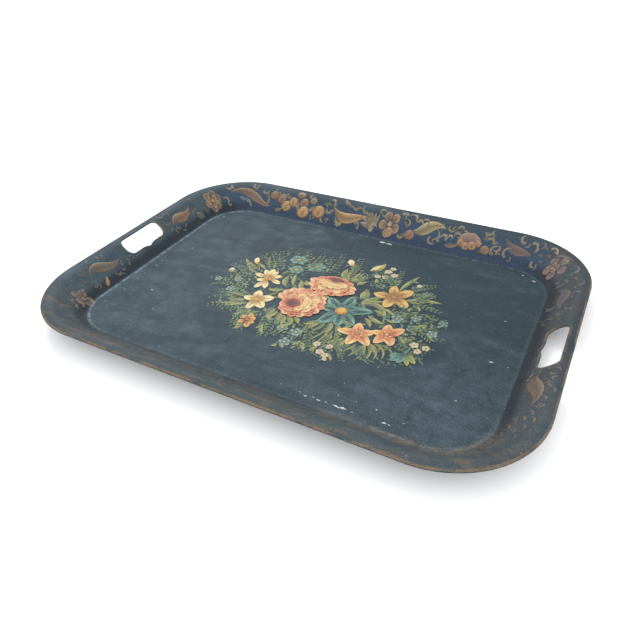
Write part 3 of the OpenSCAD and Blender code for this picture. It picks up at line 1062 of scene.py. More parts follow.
# %% Grass fans below the trumpets
yellow_green = (tint(84, 98, 54), tint(138, 136, 72), tint(178, 168, 98))
m = Motif("grass_right", lift=0.12)
fan = [((98, -74), (94, -86), (88, -94), 2.0), ((104, -74), (104, -90), (98, -101), 2.0),
       ((110, -72), (116, -88), (110, -103), 2.0), ((114, -70), (126, -82), (121, -101), 2.2),
       ((116, -66), (132, -74), (131, -94), 2.2), ((120, -64), (140, -66), (140, -88), 2.2),
       ((126, -62), (146, -62), (150, -76), 1.8), ((92, -74), (86, -84), (82, -88), 1.8),
       ((112, -66), (120, -72), (128, -80), 3.0), ((104, -66), (112, -78), (116, -90), 2.6),
       ((108, -64), (108, -80), (104, -94), 1.8), ((122, -60), (136, -72), (124, -82), 1.5)]
for a, b, c, half in fan:
    blade(m, [a, b, c], half, yellow_green)
m = Motif("grass_left", lift=0.12)
for a, b, c, half in [((70, -66), (66, -84), (74, -96), 1.8),
        ((58, -62), (54, -84), (62, -98), 1.8), ((48, -60), (44, -82), (34, -96), 1.8),
        ((38, -58), (28, -78), (30, -92), 1.8), ((20, -58), (16, -80), (24, -94), 1.6),
        ((76, -70), (84, -86), (88, -104), 1.5), ((64, -70), (74, -92), (86, -98), 1.4),
        ((28, -60), (20, -84), (12, -98), 1.6), ((52, -66), (50, -92), (46, -106), 1.4)]:
    blade(m, [a, b, c], half, yellow_green)

# %% Leaves, from the left of the bouquet to the right
pale_green = (tint(92, 106, 62), tint(142, 144, 80), tint(184, 178, 112))
dusky_green = (forest, moss, olive)
bud_green = (tint(98, 108, 62), tint(176, 158, 88), tint(206, 188, 122))
bud_light = (pale_yellow, pale_yellow, cream)
# Each leaf: where it springs from, its tip, its half-width, its bow and any colours of its own.
leaf_plan = {"west": [(-121, 30, -159, 50, 5.4, 0.1, pale_green), (-107, 42, -127, 74, 2.6, 0.06),
    (-100, 38, -112, 66, 2.2, -0.05), (-118, 22, -142, 30, 3.0, 0.1),
    (-112, 34, -132, 44, 2.8, -0.1, pale_green)], "west_low": [(-92, -46, -122, -58, 4.0, 0.1),
    (-86, -56, -112, -76, 3.6, -0.08, pale_green), (-96, -44, -130, -46, 2.6, -0.08),
    (-78, -58, -92, -72, 3.4, 0.1), (-100, -58, -128, -74, 2.8, 0.05),
    (-76, -66, -74, -82, 3.0, 0.1)], "between": [(-57, 6, -68, 34, 5.2, 0.12),
    (-36, 8, -45, 31, 4.8, -0.1), (-48, 12, -60, 44, 3.4, 0.05, pale_green),
    (-56, -2, -80, -12, 4.6, 0.1), (-26, 22, -36, 34, 4.2, 0.1),
    (-60, -10, -74, -30, 3.4, 0.1, dusky_green)], "below_rose": [(-40, -50, -56, -62, 5.0, 0.1),
    (-44, -52, -34, -80, 5.6, -0.1, yellow_green), (-30, -56, -24, -80, 5.4, 0.06, yellow_green),
    (-18, -58, -2, -76, 4.6, 0.1), (-22, -58, -14, -82, 4.4, 0.0, yellow_green),
    (-36, -54, -46, -76, 4.4, 0.1, pale_green), (-8, -56, 6, -70, 4.0, 0.12)],
    "bud": [(40, 100, 56, 130, 7.4, -0.08, bud_green), (42, 104, 52, 122, 4.2, 0.0, bud_light)],
    "back": [(23, 60, 7, 92, 6.4, 0.16), (23, 60, 41, 84, 6.4, -0.16),
    (23, 62, 18, 100, 3.4, 0.1, pale_green), (20, 88, 16, 112, 2.6, 0.0, dusky_green),
    (40, 54, 50, 68, 4.6, 0.1), (24, 64, 30, 90, 2.6, -0.05, pale_green)],
    "right_of_rose": [(60, 22, 57, 52, 7.4, -0.1), (64, 14, 89, 40, 4.6, 0.08, pale_green),
    (70, 22, 96, 34, 3.2, -0.06), (76, 30, 92, 46, 2.8, 0.1)],
    "back_right": [(103, 66, 118, 118, 3.6, 0.04, pale_green),
    (120, 48, 172, 62, 4.2, 0.07, pale_green), (122, 48, 146, 50, 2.6, -0.06),
    (138, 66, 146, 80, 3.0, 0.1), (140, 40, 148, 30, 3.0, 0.1), (66, 74, 60, 84, 3.2, 0.1)],
    "below_teal": [(43, -42, 50, -74, 4.4, 0.1, yellow_green),
    (34, -46, 24, -76, 4.4, -0.08, yellow_green), (54, -44, 67, -72, 4.4, 0.08, yellow_green),
    (28, -48, 12, -66, 3.8, 0.08), (76, -70, 60, -88, 5.0, 0.1, yellow_green),
    (82, -72, 78, -92, 4.8, -0.08, yellow_green), (38, -46, 38, -70, 3.4, 0.0, dusky_green)],
    "heart": [(88, 6, 112, -6, 3.8, 0.12), (86, -8, 116, -18, 4.2, -0.1, pale_green),
    (84, -16, 100, -34, 3.6, 0.1), (98, 14, 122, 4, 3.0, 0.1, pale_green),
    (74, -34, 66, -50, 3.4, 0.1), (112, -8, 132, -6, 2.8, -0.1), (4, 8, 20, 2, 3.0, 0.1),
    (-2, -66, -16, -86, 3.2, 0.08, pale_green)],
    "east": [(143, -34, 162, -32, 4.6, -0.18, pale_green), (143, -38, 156, -48, 3.0, 0.1),
    (128, 20, 134, 8, 3.0, 0.1), (156, -8, 170, 4, 2.8, 0.1),
    (134, 24, 138, 36, 2.8, 0.1, pale_green), (176, -20, 188, -26, 2.6, 0.1)],
    "south": [(28, -102, 40, -116, 4.2, 0.1, pale_green), (52, -98, 46, -112, 3.4, 0.1),
    (4, -116, 14, -124, 3.4, 0.1, pale_green), (2, -118, -4, -126, 2.6, 0.1),
    (30, -100, 22, -114, 3.2, -0.1), (70, -108, 84, -120, 2.8, 0.1),
    (80, -92, 88, -100, 3.0, 0.1, pale_green)], "southwest": [(-66, -98, -72, -118, 3.2, 0.1),
    (-76, -96, -70, -112, 2.8, 0.1), (-36, -92, -26, -108, 2.8, -0.2, pale_green),
    (-80, -74, -92, -90, 2.6, 0.1), (-70, -74, -66, -86, 3.6, 0.1, pale_green),
    (-38, -88, -44, -104, 2.4, 0.1)],}
for name, plan in leaf_plan.items():
    m = Motif("leaves_" + name, lift=0.16)
    for x, y, tip_x, tip_y, half, bow, *tones in plan:
        leaf(m, (x, y), (tip_x, tip_y), half, tones[0] if tones else None, bow)
m = Motif("curved_blade", lift=0.2)
blade(m, [(66, 12), (84, 30), (108, 14), (111, -14)], 5.0, pale_green)
blade(m, [(68, 10), (80, 26), (98, 20), (104, 2)], 2.2, (forest, moss, light_olive))
blade(m, [(20, 112), (24, 98), (20, 82), (23, 66)], 1.0)
print("leaves done:", len(motifs), "motifs")

# %% [markdown]
# ## The small flowers
# Forget-me-nots and little blossoms are the quick part of a bouquet: a ring of dabs and a
# touch of ochre. Painting them loosely, never twice the same, keeps them from looking
# printed.

# %% Small blue flowers, each its own piece
soft_blue = (tint(66, 98, 100), tint(106, 138, 134), tint(152, 174, 160))
sea_green = (tint(56, 96, 90), tint(84, 126, 112), tint(124, 156, 136))
for number, (x, y, r, tones) in enumerate([(-165, -20, 6, soft_blue), (-131, -35, 8, soft_blue),
        (-135, -8, 7, soft_blue), (-9, -85, 9, soft_blue), (13, -86, 9, soft_blue),
        (9, -111, 9, soft_blue), (150, 14, 8, soft_blue), (126, 1, 9, soft_blue),
        (153, -12, 8, soft_blue), (181, -12, 8, soft_blue), (188, 17, 7, sea_green)]):
    m = Motif(f"forget_me_not_{number + 1}", lift=0.42)
    little_flower(m, x, y, r, tones, ochre, wear=0.4)
for number, (x, y, r) in enumerate([(-77.5, 82, 15), (-41, 75, 15), (-66, 54, 13)]):
    m = Motif(f"sea_green_flower_{number + 1}", lift=0.45)
    for turn, count in ((0.3, 6), (0.8, 5)):
        little_flower(m, x, y, r * (1.0 if count == 6 else 0.72), sea_green, ochre, count, 0.42,
            turn + number)
    m.dot(x, y, 3.3, ochre, edge=orange, wear=0.3)
    m.dot(x + 1, y - 1, 1.5, deep_orange, wear=0.3)

# %% Pale blossoms on the right and along the bottom
pale_tones = (tint(196, 178, 140), tint(222, 208, 176), tint(160, 116, 72))
for number, (x, y, r) in enumerate([(72, 120, 5), (68, 109, 6), (81, 103, 5.5), (70, 94, 6),
        (58, 90, 5), (168, -43, 6), (184, -43, 5.5), (176, -54, 5), (51, -96, 5.5), (69, -94, 5),
        (62, -109, 5.5), (71, -112, 5), (74, -119, 3.6), (126, 92, 4)]):
    m = Motif(f"blossom_{number + 1}", lift=0.5)
    blossom_dabs(m, x, y, r, pale_tones, 0.35)

# %% Buds
m = Motif("bud_back", lift=0.4)
blade(m, [(10, 103), (16, 92), (20, 76)], 1.1)
petal(m, (11, 101), (0, 118), 5.4, (blush, cream, blossom, tint(240, 226, 196)), 0.06)
m.stroke([(10, 102), (2, 112)], 1.5, "leaf", salmon, blush, wear=0.2)
leaf(m, (11, 100), (15, 108), 1.6, fine=False)
m = Motif("bud_left", lift=0.4)
petal(m, (-132, 41), (-143, 60), 4.6, (ochre, cream, pale_yellow, tint(238, 222, 178)), 0.05)
leaf(m, (-131, 42), (-128, 50), 1.5, fine=False)
blade(m, [(-132, 42), (-124, 36), (-118, 26)], 0.9)
m = Motif("bud_far_left", lift=0.4)
petal(m, (-158, 2), (-162, 17), 4.6, (tint(176, 134, 116), tint(208, 182, 164), blossom,
    tint(226, 208, 192)), 0.05, wear=0.35)
print("small flowers done:", len(motifs), "motifs")

# %% [markdown]
# ## The open flowers
# These carry the bouquet: two cream ones on the left, an ochre one behind, two orange
# trumpets in front, a small orange one below, a large teal one, and a teal one turned away.
# Each is a list of petal tips about a heart, so every petal can differ.

# %% Open flowers
petal_start = 0.12


def open_flower(name, heart, petals, tones, shape="petal", lift=0.6):
    """Petals from near the heart to the given tips. Each entry is x, y, half-width, bow."""
    m = Motif(name, lift=lift)
    heart = np.array(heart, float)
    for x, y, half, bow in petals:
        tip = np.array([x, y], float)
        petal(m, heart + petal_start * (tip - heart), tip, half, tones, bow, shape)
    return m


cream_tones = (tint(176, 132, 66), tint(224, 202, 142), tint(238, 222, 172), tint(242, 228, 184))
m = open_flower("cream_star", (-94, 13), [(-98, 40, 5.2, 0.05), (-77, 26, 5.0, 0.06),
    (-110, 33, 4.6, 0.0), (-119, 16, 5.0, -0.05), (-108, 2, 4.6, 0.05), (-100, -18, 5.0, 0.04),
    (-84, -13, 4.8, -0.04), (-69, 6, 4.8, 0.05), (-90, 36, 4.0, -0.05)], cream_tones)
m.dot(-94, 13, 6.2, ochre, edge=deep_orange, wear=0.2, fine=True)
for x, y, r in ((-95, 17, 1.6), (-91, 15, 1.5), (-92, 10, 1.7), (-97, 11, 1.6), (-94, 13, 1.9)):
    m.dot(x, y, r, deep_orange, wear=0.2)
dots(m, ((-97, 19), (-89, 18), (-88, 9), (-99, 8)), 1.0, pale_yellow, 0.2)
m = open_flower("cream_five", (-79.5, -43), [(-86, -21, 7.4, 0.05), (-57, -29, 8.6, 0.0),
    (-59, -57, 8.0, -0.03), (-80, -69, 6.4, 0.03), (-100, -44, 6.2, 0.03)], cream_tones, "broad")
m.dot(-79.5, -43, 4.6, ochre, edge=deep_orange, wear=0.2, fine=True)
dots(m, ((-78, -41), (-81, -45), (-77, -45), (-82, -41)), 1.1, deep_orange, 0.2)
ochre_tones = (tint(150, 104, 44), tint(204, 158, 72), tint(216, 176, 92), tint(224, 190, 112))
m = open_flower("ochre_five", (102, 49), [(93, 77, 7.6, 0.05), (122, 75, 9.4, -0.04),
    (71, 46, 8.0, 0.04), (129, 31, 8.8, 0.03), (99, 19, 8.6, 0.0)], ochre_tones, "broad")
m.dot(102, 49, 4.0, tint(160, 112, 50), wear=0.2, fine=True)
dots(m, ((100, 51), (104, 50), (102, 46), (99, 48), (105, 47)), 1.0, deep_orange, 0.2)
trumpet = (tint(190, 104, 68), tint(212, 158, 94), tint(238, 212, 146), tint(236, 206, 140))
warm_trumpet = (tint(186, 92, 64), tint(208, 144, 90), tint(236, 204, 138), tint(234, 200, 134))
m = open_flower("orange_trumpet_left", (90.6, -53), [(84, -30, 7.6, 0.05), (62, -57, 7.4, -0.04),
    (86, -80, 8.0, 0.0), (114, -71, 8.0, 0.04), (110, -40, 7.8, -0.04)], trumpet, "lily")
for a in np.radians([20, 92, 164, 236, 308]):
    m.stroke([(90.6, -53), (90.6 + 12 * np.cos(a), -53 + 12 * np.sin(a))], 2.2, "leaf",
        tint(176, 92, 52), tint(210, 140, 84), wear=0.2)
    m.dot(90.6 + 6.5 * np.cos(a + 0.6), -53 + 6.5 * np.sin(a + 0.6), 1.4, pale_yellow, wear=0.2)
m.dot(90, -50, 3.6, tint(172, 132, 66), edge=deep_orange, wear=0.2, fine=True)
m = open_flower("orange_trumpet_right", (127, -38), [(122, -16, 7.4, 0.04), (144, -17, 8.0, -0.04),
    (106, -38, 6.8, 0.05), (118, -62, 7.6, 0.0), (141, -58, 7.6, 0.04)], warm_trumpet, "lily")
for a in np.radians([60, 110, 180, 250, 310]):
    m.stroke([(127, -38), (127 + 13 * np.cos(a), -38 + 13 * np.sin(a))], 2.3, "leaf",
        tint(170, 84, 50), tint(206, 132, 82), wear=0.2)
    m.dot(127 + 6.5 * np.cos(a + 0.5), -38 + 6.5 * np.sin(a + 0.5), 1.4, pale_yellow, wear=0.2)
m.stroke([(120, -36), (112, -38), (108, -38)], 2.6, "leaf", ochre, pale_yellow, wear=0.2)
m.dot(127, -38, 2.4, pale_yellow, edge=salmon, wear=0.2, fine=True)
small_orange = (tint(150, 92, 44), tint(198, 138, 66), tint(214, 162, 84), tint(224, 176, 100))
m = open_flower("small_orange_flower", (-64, -91), [(-63, -76, 4.6, 0.0), (-75, -84, 4.6, 0.04),
    (-73, -101, 4.6, 0.0), (-55, -107, 4.8, 0.03), (-51, -95, 4.4, 0.0), (-54, -83, 4.4, 0.0)],
    small_orange)
m.dot(-64, -91, 3.0, tint(170, 96, 50), wear=0.2)
teal_tones = (deep_teal, teal, pale_teal, tint(126, 164, 138))
deep_tones = (tint(36, 74, 76), tint(58, 108, 98), tint(92, 140, 120), tint(108, 152, 128))
m = open_flower("teal_flower", (48, -16), [(18, 8, 10.5, 0.06), (90, 0, 10.5, 0.07),
    (16, -18, 9.0, 0.0), (49, 25, 10.0, -0.05), (78, -40, 11.5, -0.05), (28, -54, 11.5, 0.06),
    (56, -50, 10.5, 0.05)], teal_tones, "lily", lift=0.58)
for x, y, half, bow in ((68, -26, 4.5, 0.05), (38, -38, 5.0, 0.0), (30, -4, 4.5, 0.05),
        (52, 6, 3.6, 0.0), (70, -10, 4.0, 0.1)):
    petal(m, (48, -16), (x, y), half, deep_tones, bow, wear=0.25)
for tip in ((18, 8), (90, 0), (16, -18), (49, 25), (78, -40), (28, -54), (56, -50)):
    way = np.array(tip) - [48, -16]
    side = np.array([-way[1], way[0]]) / np.hypot(*way)
    for lean in (-3.6, 0.0, 3.6):
        m.touch([np.array([48, -16]) + 0.3 * way, [48, -16] + 0.6 * way + side * lean,
            [48, -16] + 0.88 * way + side * lean * 0.4], 0.55, "blade", tint(30, 66, 70),
            tint(46, 92, 88), 0.3)
m.stroke([(56, -30), (66, -40), (74, -38)], 1.5, "comma", moss, light_olive, wear=0.25)
m.stroke([(28, -46), (34, -54), (42, -48)], 1.4, "line", pale_teal, pale_teal, wear=0.25)
m.dot(48, -16, 9.2, tint(190, 132, 44), edge=tint(150, 96, 40), wear=0.1, fine=True)
m.dot(47, -14.6, 6.6, ochre, wear=0.1, fine=True)
for a in np.arange(9) * 0.698:
    m.dot(48 + 7 * np.cos(a), -16 + 7 * np.sin(a), 1.0, deep_orange, wear=0.1)
m.stroke([(43, -12), (47, -9), (52, -11)], 1.4, "line", pale_yellow, pale_yellow, wear=0.1)
m = Motif("teal_flower_aside", lift=0.5)
blade(m, [(164, -66), (166, -58), (164, -50)], 1.8, (deep_teal, teal, pale_teal))
for tip, half, tones in (((146, -76), 4.6, teal_tones), ((150, -85), 4.8, teal_tones),
        ((160, -86), 4.6, teal_tones), ((168, -80), 4.2, teal_tones),
        ((178, -72), 4.0, (moss, olive, light_olive, light_olive)),
        ((182, -78), 3.6, (moss, olive, light_olive, light_olive)),
        ((174, -86), 3.4, (moss, olive, light_olive, light_olive))):
    petal(m, (164, -66), tip, half, tones, 0.03, wear=0.3)
print("open flowers done:", len(motifs), "motifs")

# %% [markdown]
# ## The two roses
# A folk rose is built from the outside in. Broad ruffled lobes make the bowl, curved comma
# strokes turn over its near lip, and a dark heart makes it deep. The warm red is kept for
# the folds and the cream for the lips that catch the light.

# %% Roses
lobe_tones = (tint(178, 86, 66), tint(214, 146, 104), tint(228, 188, 136), tint(236, 206, 154))
red_lobe = (tint(160, 62, 52), tint(200, 100, 76), tint(224, 164, 118), tint(226, 156, 112))
lip_tones = (tint(206, 146, 96), tint(222, 180, 118), tint(230, 200, 140), tint(228, 196, 134))
cream_lip = (tint(208, 164, 104), tint(222, 192, 128), tint(230, 206, 148), tint(228, 204, 146))
soft_lobe = (tint(196, 116, 84), tint(212, 146, 104), tint(220, 166, 120), tint(218, 160, 114))


def lobe(m, centre, tip, half, tones, inner):
    """A broad ruffled petal from part of the way out to its tip, with folds as thin strokes."""
    centre, tip = np.array(centre, float), np.array(tip, float)
    base = centre + inner * (tip - centre)
    petal(m, base, tip, half, tones, 0.0, "ruffle", 0.15)
    d = tip - base
    left = np.array([-d[1], d[0]]) / np.hypot(*d)
    for offset in (-0.55, -0.15, 0.6):
        a, b = base + 0.15 * d + left * half * offset * 0.5, base + 0.82 * d + left * half * offset
        m.touch(bowed(a, b, 0.08 * np.sign(offset)), half * 0.09, "blade", tones[0], tones[1],
            0.15)


def crescent(m, places, half, root, tip, edge=None, shape="leaf"):
    """A curved stroke that turns over a lip."""
    m.stroke(places, half, shape, root, tip, edge=edge, wear=0.12)


def rings_of_lobes(m, rings):
    """Rings of lobes, each from a common centre to its tips. tones is one set, or one for each
    lobe, and inner is where the lobes start as a share of the way out."""
    for centre, tips, half, tones, *inner in rings:
        for k, tip in enumerate(tips):
            own = tones[k % len(tones)] if isinstance(tones, list) else tones
            lobe(m, centre, tip, half, own, inner[0] if inner else 0.3)


def drawn_in(old_centre, centre, shares):
    """A floor surface on which everything is drawn in towards a centre."""
    return lambda flat, lift: on_floor(np.array(centre) + (flat - old_centre) * shares, lift)


m = Motif("rose_upper", drawn_in([7, 36], [7, 35], [0.96, 0.86]), 0.6)
rings_of_lobes(m, [
    ((7, 36), [(-24, 56), (-10, 64), (6, 67), (22, 65), (36, 58)], 9.5, [red_lobe, lobe_tones]),
    ((7, 36), [(-35, 43), (-32, 28), (46, 44), (48, 32)], 9.0, lobe_tones),
    ((7, 36), [(-22, 15), (-9, 8), (5, 5), (19, 8), (33, 15), (41, 24)],
     8.6, [lobe_tones, red_lobe]),
    ((7, 38), [(-24, 30), (-10, 19), (9, 16), (26, 21), (36, 34)],
     8.6, [soft_lobe, lip_tones], 0.35),
])
m.stroke([(-19, 46), (6, 70), (33, 46)], 8.6, "leaf", rose_red, tint(192, 104, 78), edge=blush,
    wear=0.12)
rings_of_lobes(m, [
    ((6, 50), [(-18, 52), (30, 53), (-12, 60), (24, 61), (6, 64)], 4.2, red_lobe, 0.5),
])
m.dot(6, 53, 9, heart_red, wear=0.08, fine=True, squash=1.5)
for x, y, half, long in ((-5, 52, 1.3, 8), (1, 54, 1.4, 10), (7, 55, 1.3, 9), (12, 54, 1.3, 9),
        (17, 52, 1.1, 7)):
    m.stroke([(x, y - long / 2), (x + 1, y + long / 2)], half, "leaf", tint(80, 30, 32),
        tint(146, 66, 56), wear=0.1)
rings_of_lobes(m, [
    ((6, 56), [(-17, 37), (-6, 28), (7, 26), (20, 29), (30, 38)],
     8.2, [lip_tones, lip_tones, cream_lip], 0.25),
])
m.stroke([(-18, 43), (6, 36), (30, 44)], 3.4, "leaf", lip_tones[1], cream_lip[1],
    edge=cream_lip[2], wear=0.12)
for places, half in (([(-24, 40), (-22, 30), (-14, 24)], 1.0),
        ([(34, 44), (36, 34), (30, 24)], 1.0), ([(-2, 20), (0, 14), (-2, 9)], 0.8),
        ([(14, 20), (15, 14), (14, 9)], 0.8), ([(-16, 22), (-18, 18), (-18, 14)], 0.8),
        ([(27, 22), (30, 19), (32, 17)], 0.8)):
    crescent(m, places, half, rose_red, salmon, shape="line")
m = Motif("rose_lower", drawn_in([-20, -26], [-19, -25], [0.94, 0.94]), 0.78)
rings_of_lobes(m, [
    ((-20, -26), [(-60, -16), (-56, -3), (-47, 8), (-34, 14)], 9.2, lobe_tones),
    ((-20, -26), [(-20, 17), (-6, 13), (6, 12), (16, 3)], 9.4, [red_lobe, lip_tones]),
    ((-20, -26), [(21, -8), (25, -22), (22, -36)], 9.4, [lobe_tones, red_lobe]),
    ((-20, -26), [(15, -49), (3, -58), (-11, -63), (-26, -62), (-38, -54), (-44, -42)],
     9.0, [red_lobe, lobe_tones]),
    ((-20, -24), [(-48, -12), (-38, 3), (-20, 7)], 9.4, [soft_lobe, lobe_tones], 0.4),
    ((-20, -26), [(-2, 5), (11, -8), (14, -25), (7, -41)], 9.0, [lobe_tones, lip_tones], 0.4),
    ((-20, -26), [(-8, -50), (-24, -53), (-38, -43), (-46, -28)], 9.0, [red_lobe, soft_lobe], 0.4),
])
m.dot(-21, -26, 18, soft_lobe[1], edge=salmon, wear=0.1, fine=True, squash=1.1)
rings_of_lobes(m, [
    ((-24, -30), [(-38, -10), (-20, -3), (-5, -8)], 7.6, [soft_lobe, lip_tones], 0.4),
    ((-24, -30), [(2, -16), (4, -31), (-5, -44)], 8.0, [lip_tones, cream_lip], 0.4),
    ((-24, -30), [(-22, -48), (-36, -43), (-44, -29)], 6.6, red_lobe, 0.5),
])
m.dot(-25, -31, 10.5, tint(150, 66, 56), wear=0.1, fine=True, squash=1.1)
m.dot(-26, -32, 8.4, heart_red, wear=0.08, fine=True, squash=1.1)
for a in np.radians(np.arange(12) * 30 + 10):
    m.touch([(-26 + 2 * np.cos(a), -32 + 2 * np.sin(a)),
        (-26 + 12.5 * np.cos(a), -32 + 11.5 * np.sin(a))], 1.1, "blade", tint(76, 28, 30),
        tint(160, 78, 62), 0.1)
crescent(m, [(-20, -12), (-4, -14), (-3, -32), (-12, -41)], 4.2, lip_tones[1], cream_lip[1],
    edge=cream_lip[2])
crescent(m, [(-24, -9), (-6, -8), (2, -24)], 1.6, cream_lip[1], cream_lip[3])
for places, half in (([(-46, -18), (-44, -8), (-36, 0)], 1.0),
        ([(2, 4), (12, -2), (16, -12)], 1.0), ([(-26, -55), (-12, -58), (2, -52)], 1.1),
        ([(14, -30), (14, -40), (6, -50)], 1.0), ([(-24, 8), (-14, 10), (-6, 6)], 0.9)):
    crescent(m, places, half, rose_red, salmon, shape="line")
print("roses done:", len(motifs), "motifs")

# %% [markdown]
# ## The bronze border
# Round the rim runs a border of bronze powder in varnish: berries, long leaves, commas and
# loose flowers. It is given as walks round the rim and distances out from the crease, so
# it follows the corners without thought. The back keeps it best, as hands seldom reach
# there. The sides are rubbed, and the front has only smears.

# %% Border helpers
gold = (tint(124, 90, 50), tint(178, 134, 74), tint(200, 160, 98))
old_gold = (tint(98, 84, 60), tint(144, 124, 86), tint(168, 150, 110))
copper = (tint(94, 70, 50), tint(142, 106, 70), tint(164, 130, 90))
red_brown = (tint(80, 64, 56), tint(114, 86, 68), tint(128, 100, 80))
faint_brown = (tint(70, 66, 62), tint(92, 80, 68), tint(100, 88, 74))


def border_motif(name):
    """An empty motif for the rim."""
    return Motif(name, surface=on_rim)


def berry(m, s, o, r, tones, wear=0.4):
    """A round fruit: a dark ring, a body, a turned shadow and a light."""
    m.dot(s, o, r, tones[0], wear=wear, fine=True, squash=1.32)
    m.dot(s - 0.06 * r, o + 0.06 * r, r * 0.84, tones[1], edge=tones[2], wear=wear, fine=True,
        squash=1.32)
    m.touch([(s - 0.5 * r, o - 0.2 * r), (s, o - 0.7 * r), (s + 0.5 * r, o - 0.1 * r)], r * 0.14,
        "leaf", tones[0], tones[0], wear)
    m.dot(s, o, r * 0.22, tones[0], wear=wear)
    m.dot(s - 0.28 * r, o + 0.34 * r, r * 0.2, tones[2], wear=wear)


def long_leaf(m, places, half, tones, wear=0.4):
    """A long leaf along a curve with a dark vein and fine side strokes."""
    m.stroke(places, half, "leaf", tones[0], tones[1], edge=tones[2], side=tones[2], wear=wear)
    m.stroke(places, half * 0.1, "line", tones[0], tones[0], wear=wear)
    places = np.array(places, float)
    at = np.linspace(0.2, 0.8, 7)
    nodes, ahead = through(places, at), through(places, at + 0.13)
    side = (ahead - nodes)[:, ::-1] * [-1, 1]
    side /= np.linalg.norm(side, axis=1)[:, None]
    for k in range(7):
        for way in (0.7, -0.7):
            m.touch([nodes[k], ahead[k] + side[k] * half * way], 0.35, "blade", tones[0], tones[1],
                wear)


def curl_stroke(m, s, o, r, start, sweep, half, tones, wear=0.45):
    """A comma that winds in: its places lie on a spiral whose radius falls to a fifth."""
    t = np.linspace(0, 1, 7)
    a = np.radians(start + sweep * t)
    places = np.stack([s + r * (1.25 - t) * np.cos(a), o + r * (1.25 - t) * np.sin(a)], -1)
    m.stroke(places[::-1], half, "comma", tones[1], tones[2], wear=wear)


def border_flower(m, s, o, r, tones, count=5, turn=0.3, wear=0.4):
    """Five broad dabs about a heart, with veins."""
    for a in turn + np.arange(count) / count * 2 * np.pi:
        way = np.array([np.cos(a), np.sin(a)])
        at = np.array([s, o])
        m.stroke([at + way * r * 0.15, at + way * r], r * 0.36, "petal", tones[0], tones[1],
            edge=tones[2], wear=wear)
        for turned in (-0.22, 0, 0.22):
            b = np.array([np.cos(a + turned), np.sin(a + turned)])
            m.touch([at + b * r * 0.25, at + b * r * 0.8], r * 0.03, "blade", tones[0], tones[0],
                wear)
    m.dot(s, o, r * 0.2, tones[2], edge=tones[0], wear=wear, fine=True)


def shell_fan(m, s, o, r, tones, start, sweep, count=6, wear=0.45):
    """Commas opening from one place like the ribs of a shell."""
    for a in np.radians(start + sweep * np.arange(count) / (count - 1)):
        way = np.array([np.cos(a), np.sin(a)])
        m.stroke([(s, o), np.array([s, o]) + way * r * 0.6 + [way[1] * 2, -way[0] * 2],
            np.array([s, o]) + way * r], r * 0.13, "comma", tones[0], tones[1], edge=tones[2],
            wear=wear, fine=False)
    m.dot(s, o, r * 0.16, tones[2], wear=wear)


# %% The back's left half: leaf, berries and a crescent leaf
m = border_motif("border_corner_flower_left")
border_flower(m, -340, 22, 18, copper, 6, 0.2, 0.64)
border_flower(m, -340, 22, 11, gold, 5, 0.8, 0.64)
m = border_motif("border_leaf_back_left")
long_leaf(m, [(-302, 30), (-262, 38), (-244, 8), (-212, 13)], 6.5, copper, 0.5)
m.stroke([(-286, 22), (-276, 16), (-266, 20)], 3.0, "leaf", tint(84, 106, 124), tint(92, 118, 138),
    wear=0.6)
m = border_motif("border_berries")
for s, o, r, tones in ((-214, 29, 6.5, copper), (-196, 26, 7.5, copper), (-182, 17, 8, gold),
        (-171, 25, 7, gold), (-159, 38, 6.5, copper), (-148, 26, 7.5, copper), (-145, 13, 9, gold),
        (-131, 32, 5.5, old_gold), (-115, 18, 9.5, gold)):
    berry(m, s, o, r, tones, 0.34)
for s, o in ((-128, 10), (-124, 13), (-127, 6), (-122, 8)):
    m.touch([(s, o - 2), (s + 1, o + 3)], 1.6, "comma", old_gold[0], old_gold[1], 0.4)
for places in ([(-204, 8), (-196, 12), (-190, 8)], [(-200, 6), (-194, 9), (-188, 14)],
        [(-104, 32), (-98, 34), (-94, 30)], [(-98, 9), (-94, 12), (-90, 9)],
        [(-108, 34), (-104, 30), (-100, 28)]):
    comma(m, places, 1.7, old_gold, 0.45)
m = border_motif("border_crescent_leaf")
long_leaf(m, [(-90, 31), (-64, 6), (-50, 22), (-18, 26)], 7.5, gold, 0.28)
long_leaf(m, [(-74, 50), (-68, 36), (-50, 34)], 3.2, copper, 0.62)
for a in (150, 185, 220, 255, 290):
    curl_stroke(m, -71, 12, 7.5, a, 80, 1.3, old_gold, 0.45)
m = border_motif("border_shell_back")
shell_fan(m, -9, 10, 24, old_gold, 70, 95, 6, 0.42)
for k, a in enumerate((0, 45, 90, 140, 190)):
    curl_stroke(m, -7, 13, 7.0 - 0.6 * k, a, 150, 1.5, old_gold, 0.35)
for o in (30, 26, 20):
    comma(m, [(-22, o), (-16, o + 2), (-10, o - 2)], 1.5, old_gold, 0.4)

# %% The back's right half: flower, olive leaf, shell and a worn leaf
m = border_motif("border_flower_back")
border_flower(m, 22, 22, 19, (copper[0], tint(160, 124, 84), tint(180, 146, 104)), 5, -0.42, 0.38)
m.dot(24, 11, 6.5, tint(158, 120, 76), edge=gold[2], wear=0.4, fine=True)
m = border_motif("border_olive_leaf")
long_leaf(m, [(65, 20), (84, 16), (92, 42), (121, 30)], 8.2,
    (tint(112, 98, 62), tint(166, 144, 92), tint(190, 170, 118)), 0.3)
curl_stroke(m, 72, 32, 7.5, -60, 260, 1.9, old_gold, 0.4)
curl_stroke(m, 53, 27, 6, 120, -200, 1.4, old_gold, 0.5)
berry(m, 61, 13, 7, copper, 0.35)
comma(m, [(46, 12), (54, 10), (60, 14)], 2.2, copper, 0.4)
comma(m, [(46, 30), (50, 26), (54, 22)], 1.6, old_gold, 0.5)
m = border_motif("border_hooks")
curl_stroke(m, 121, 19, 7.5, 200, -300, 2.0, old_gold, 0.32)
curl_stroke(m, 128, 21, 5, -20, 200, 1.5, old_gold, 0.4)
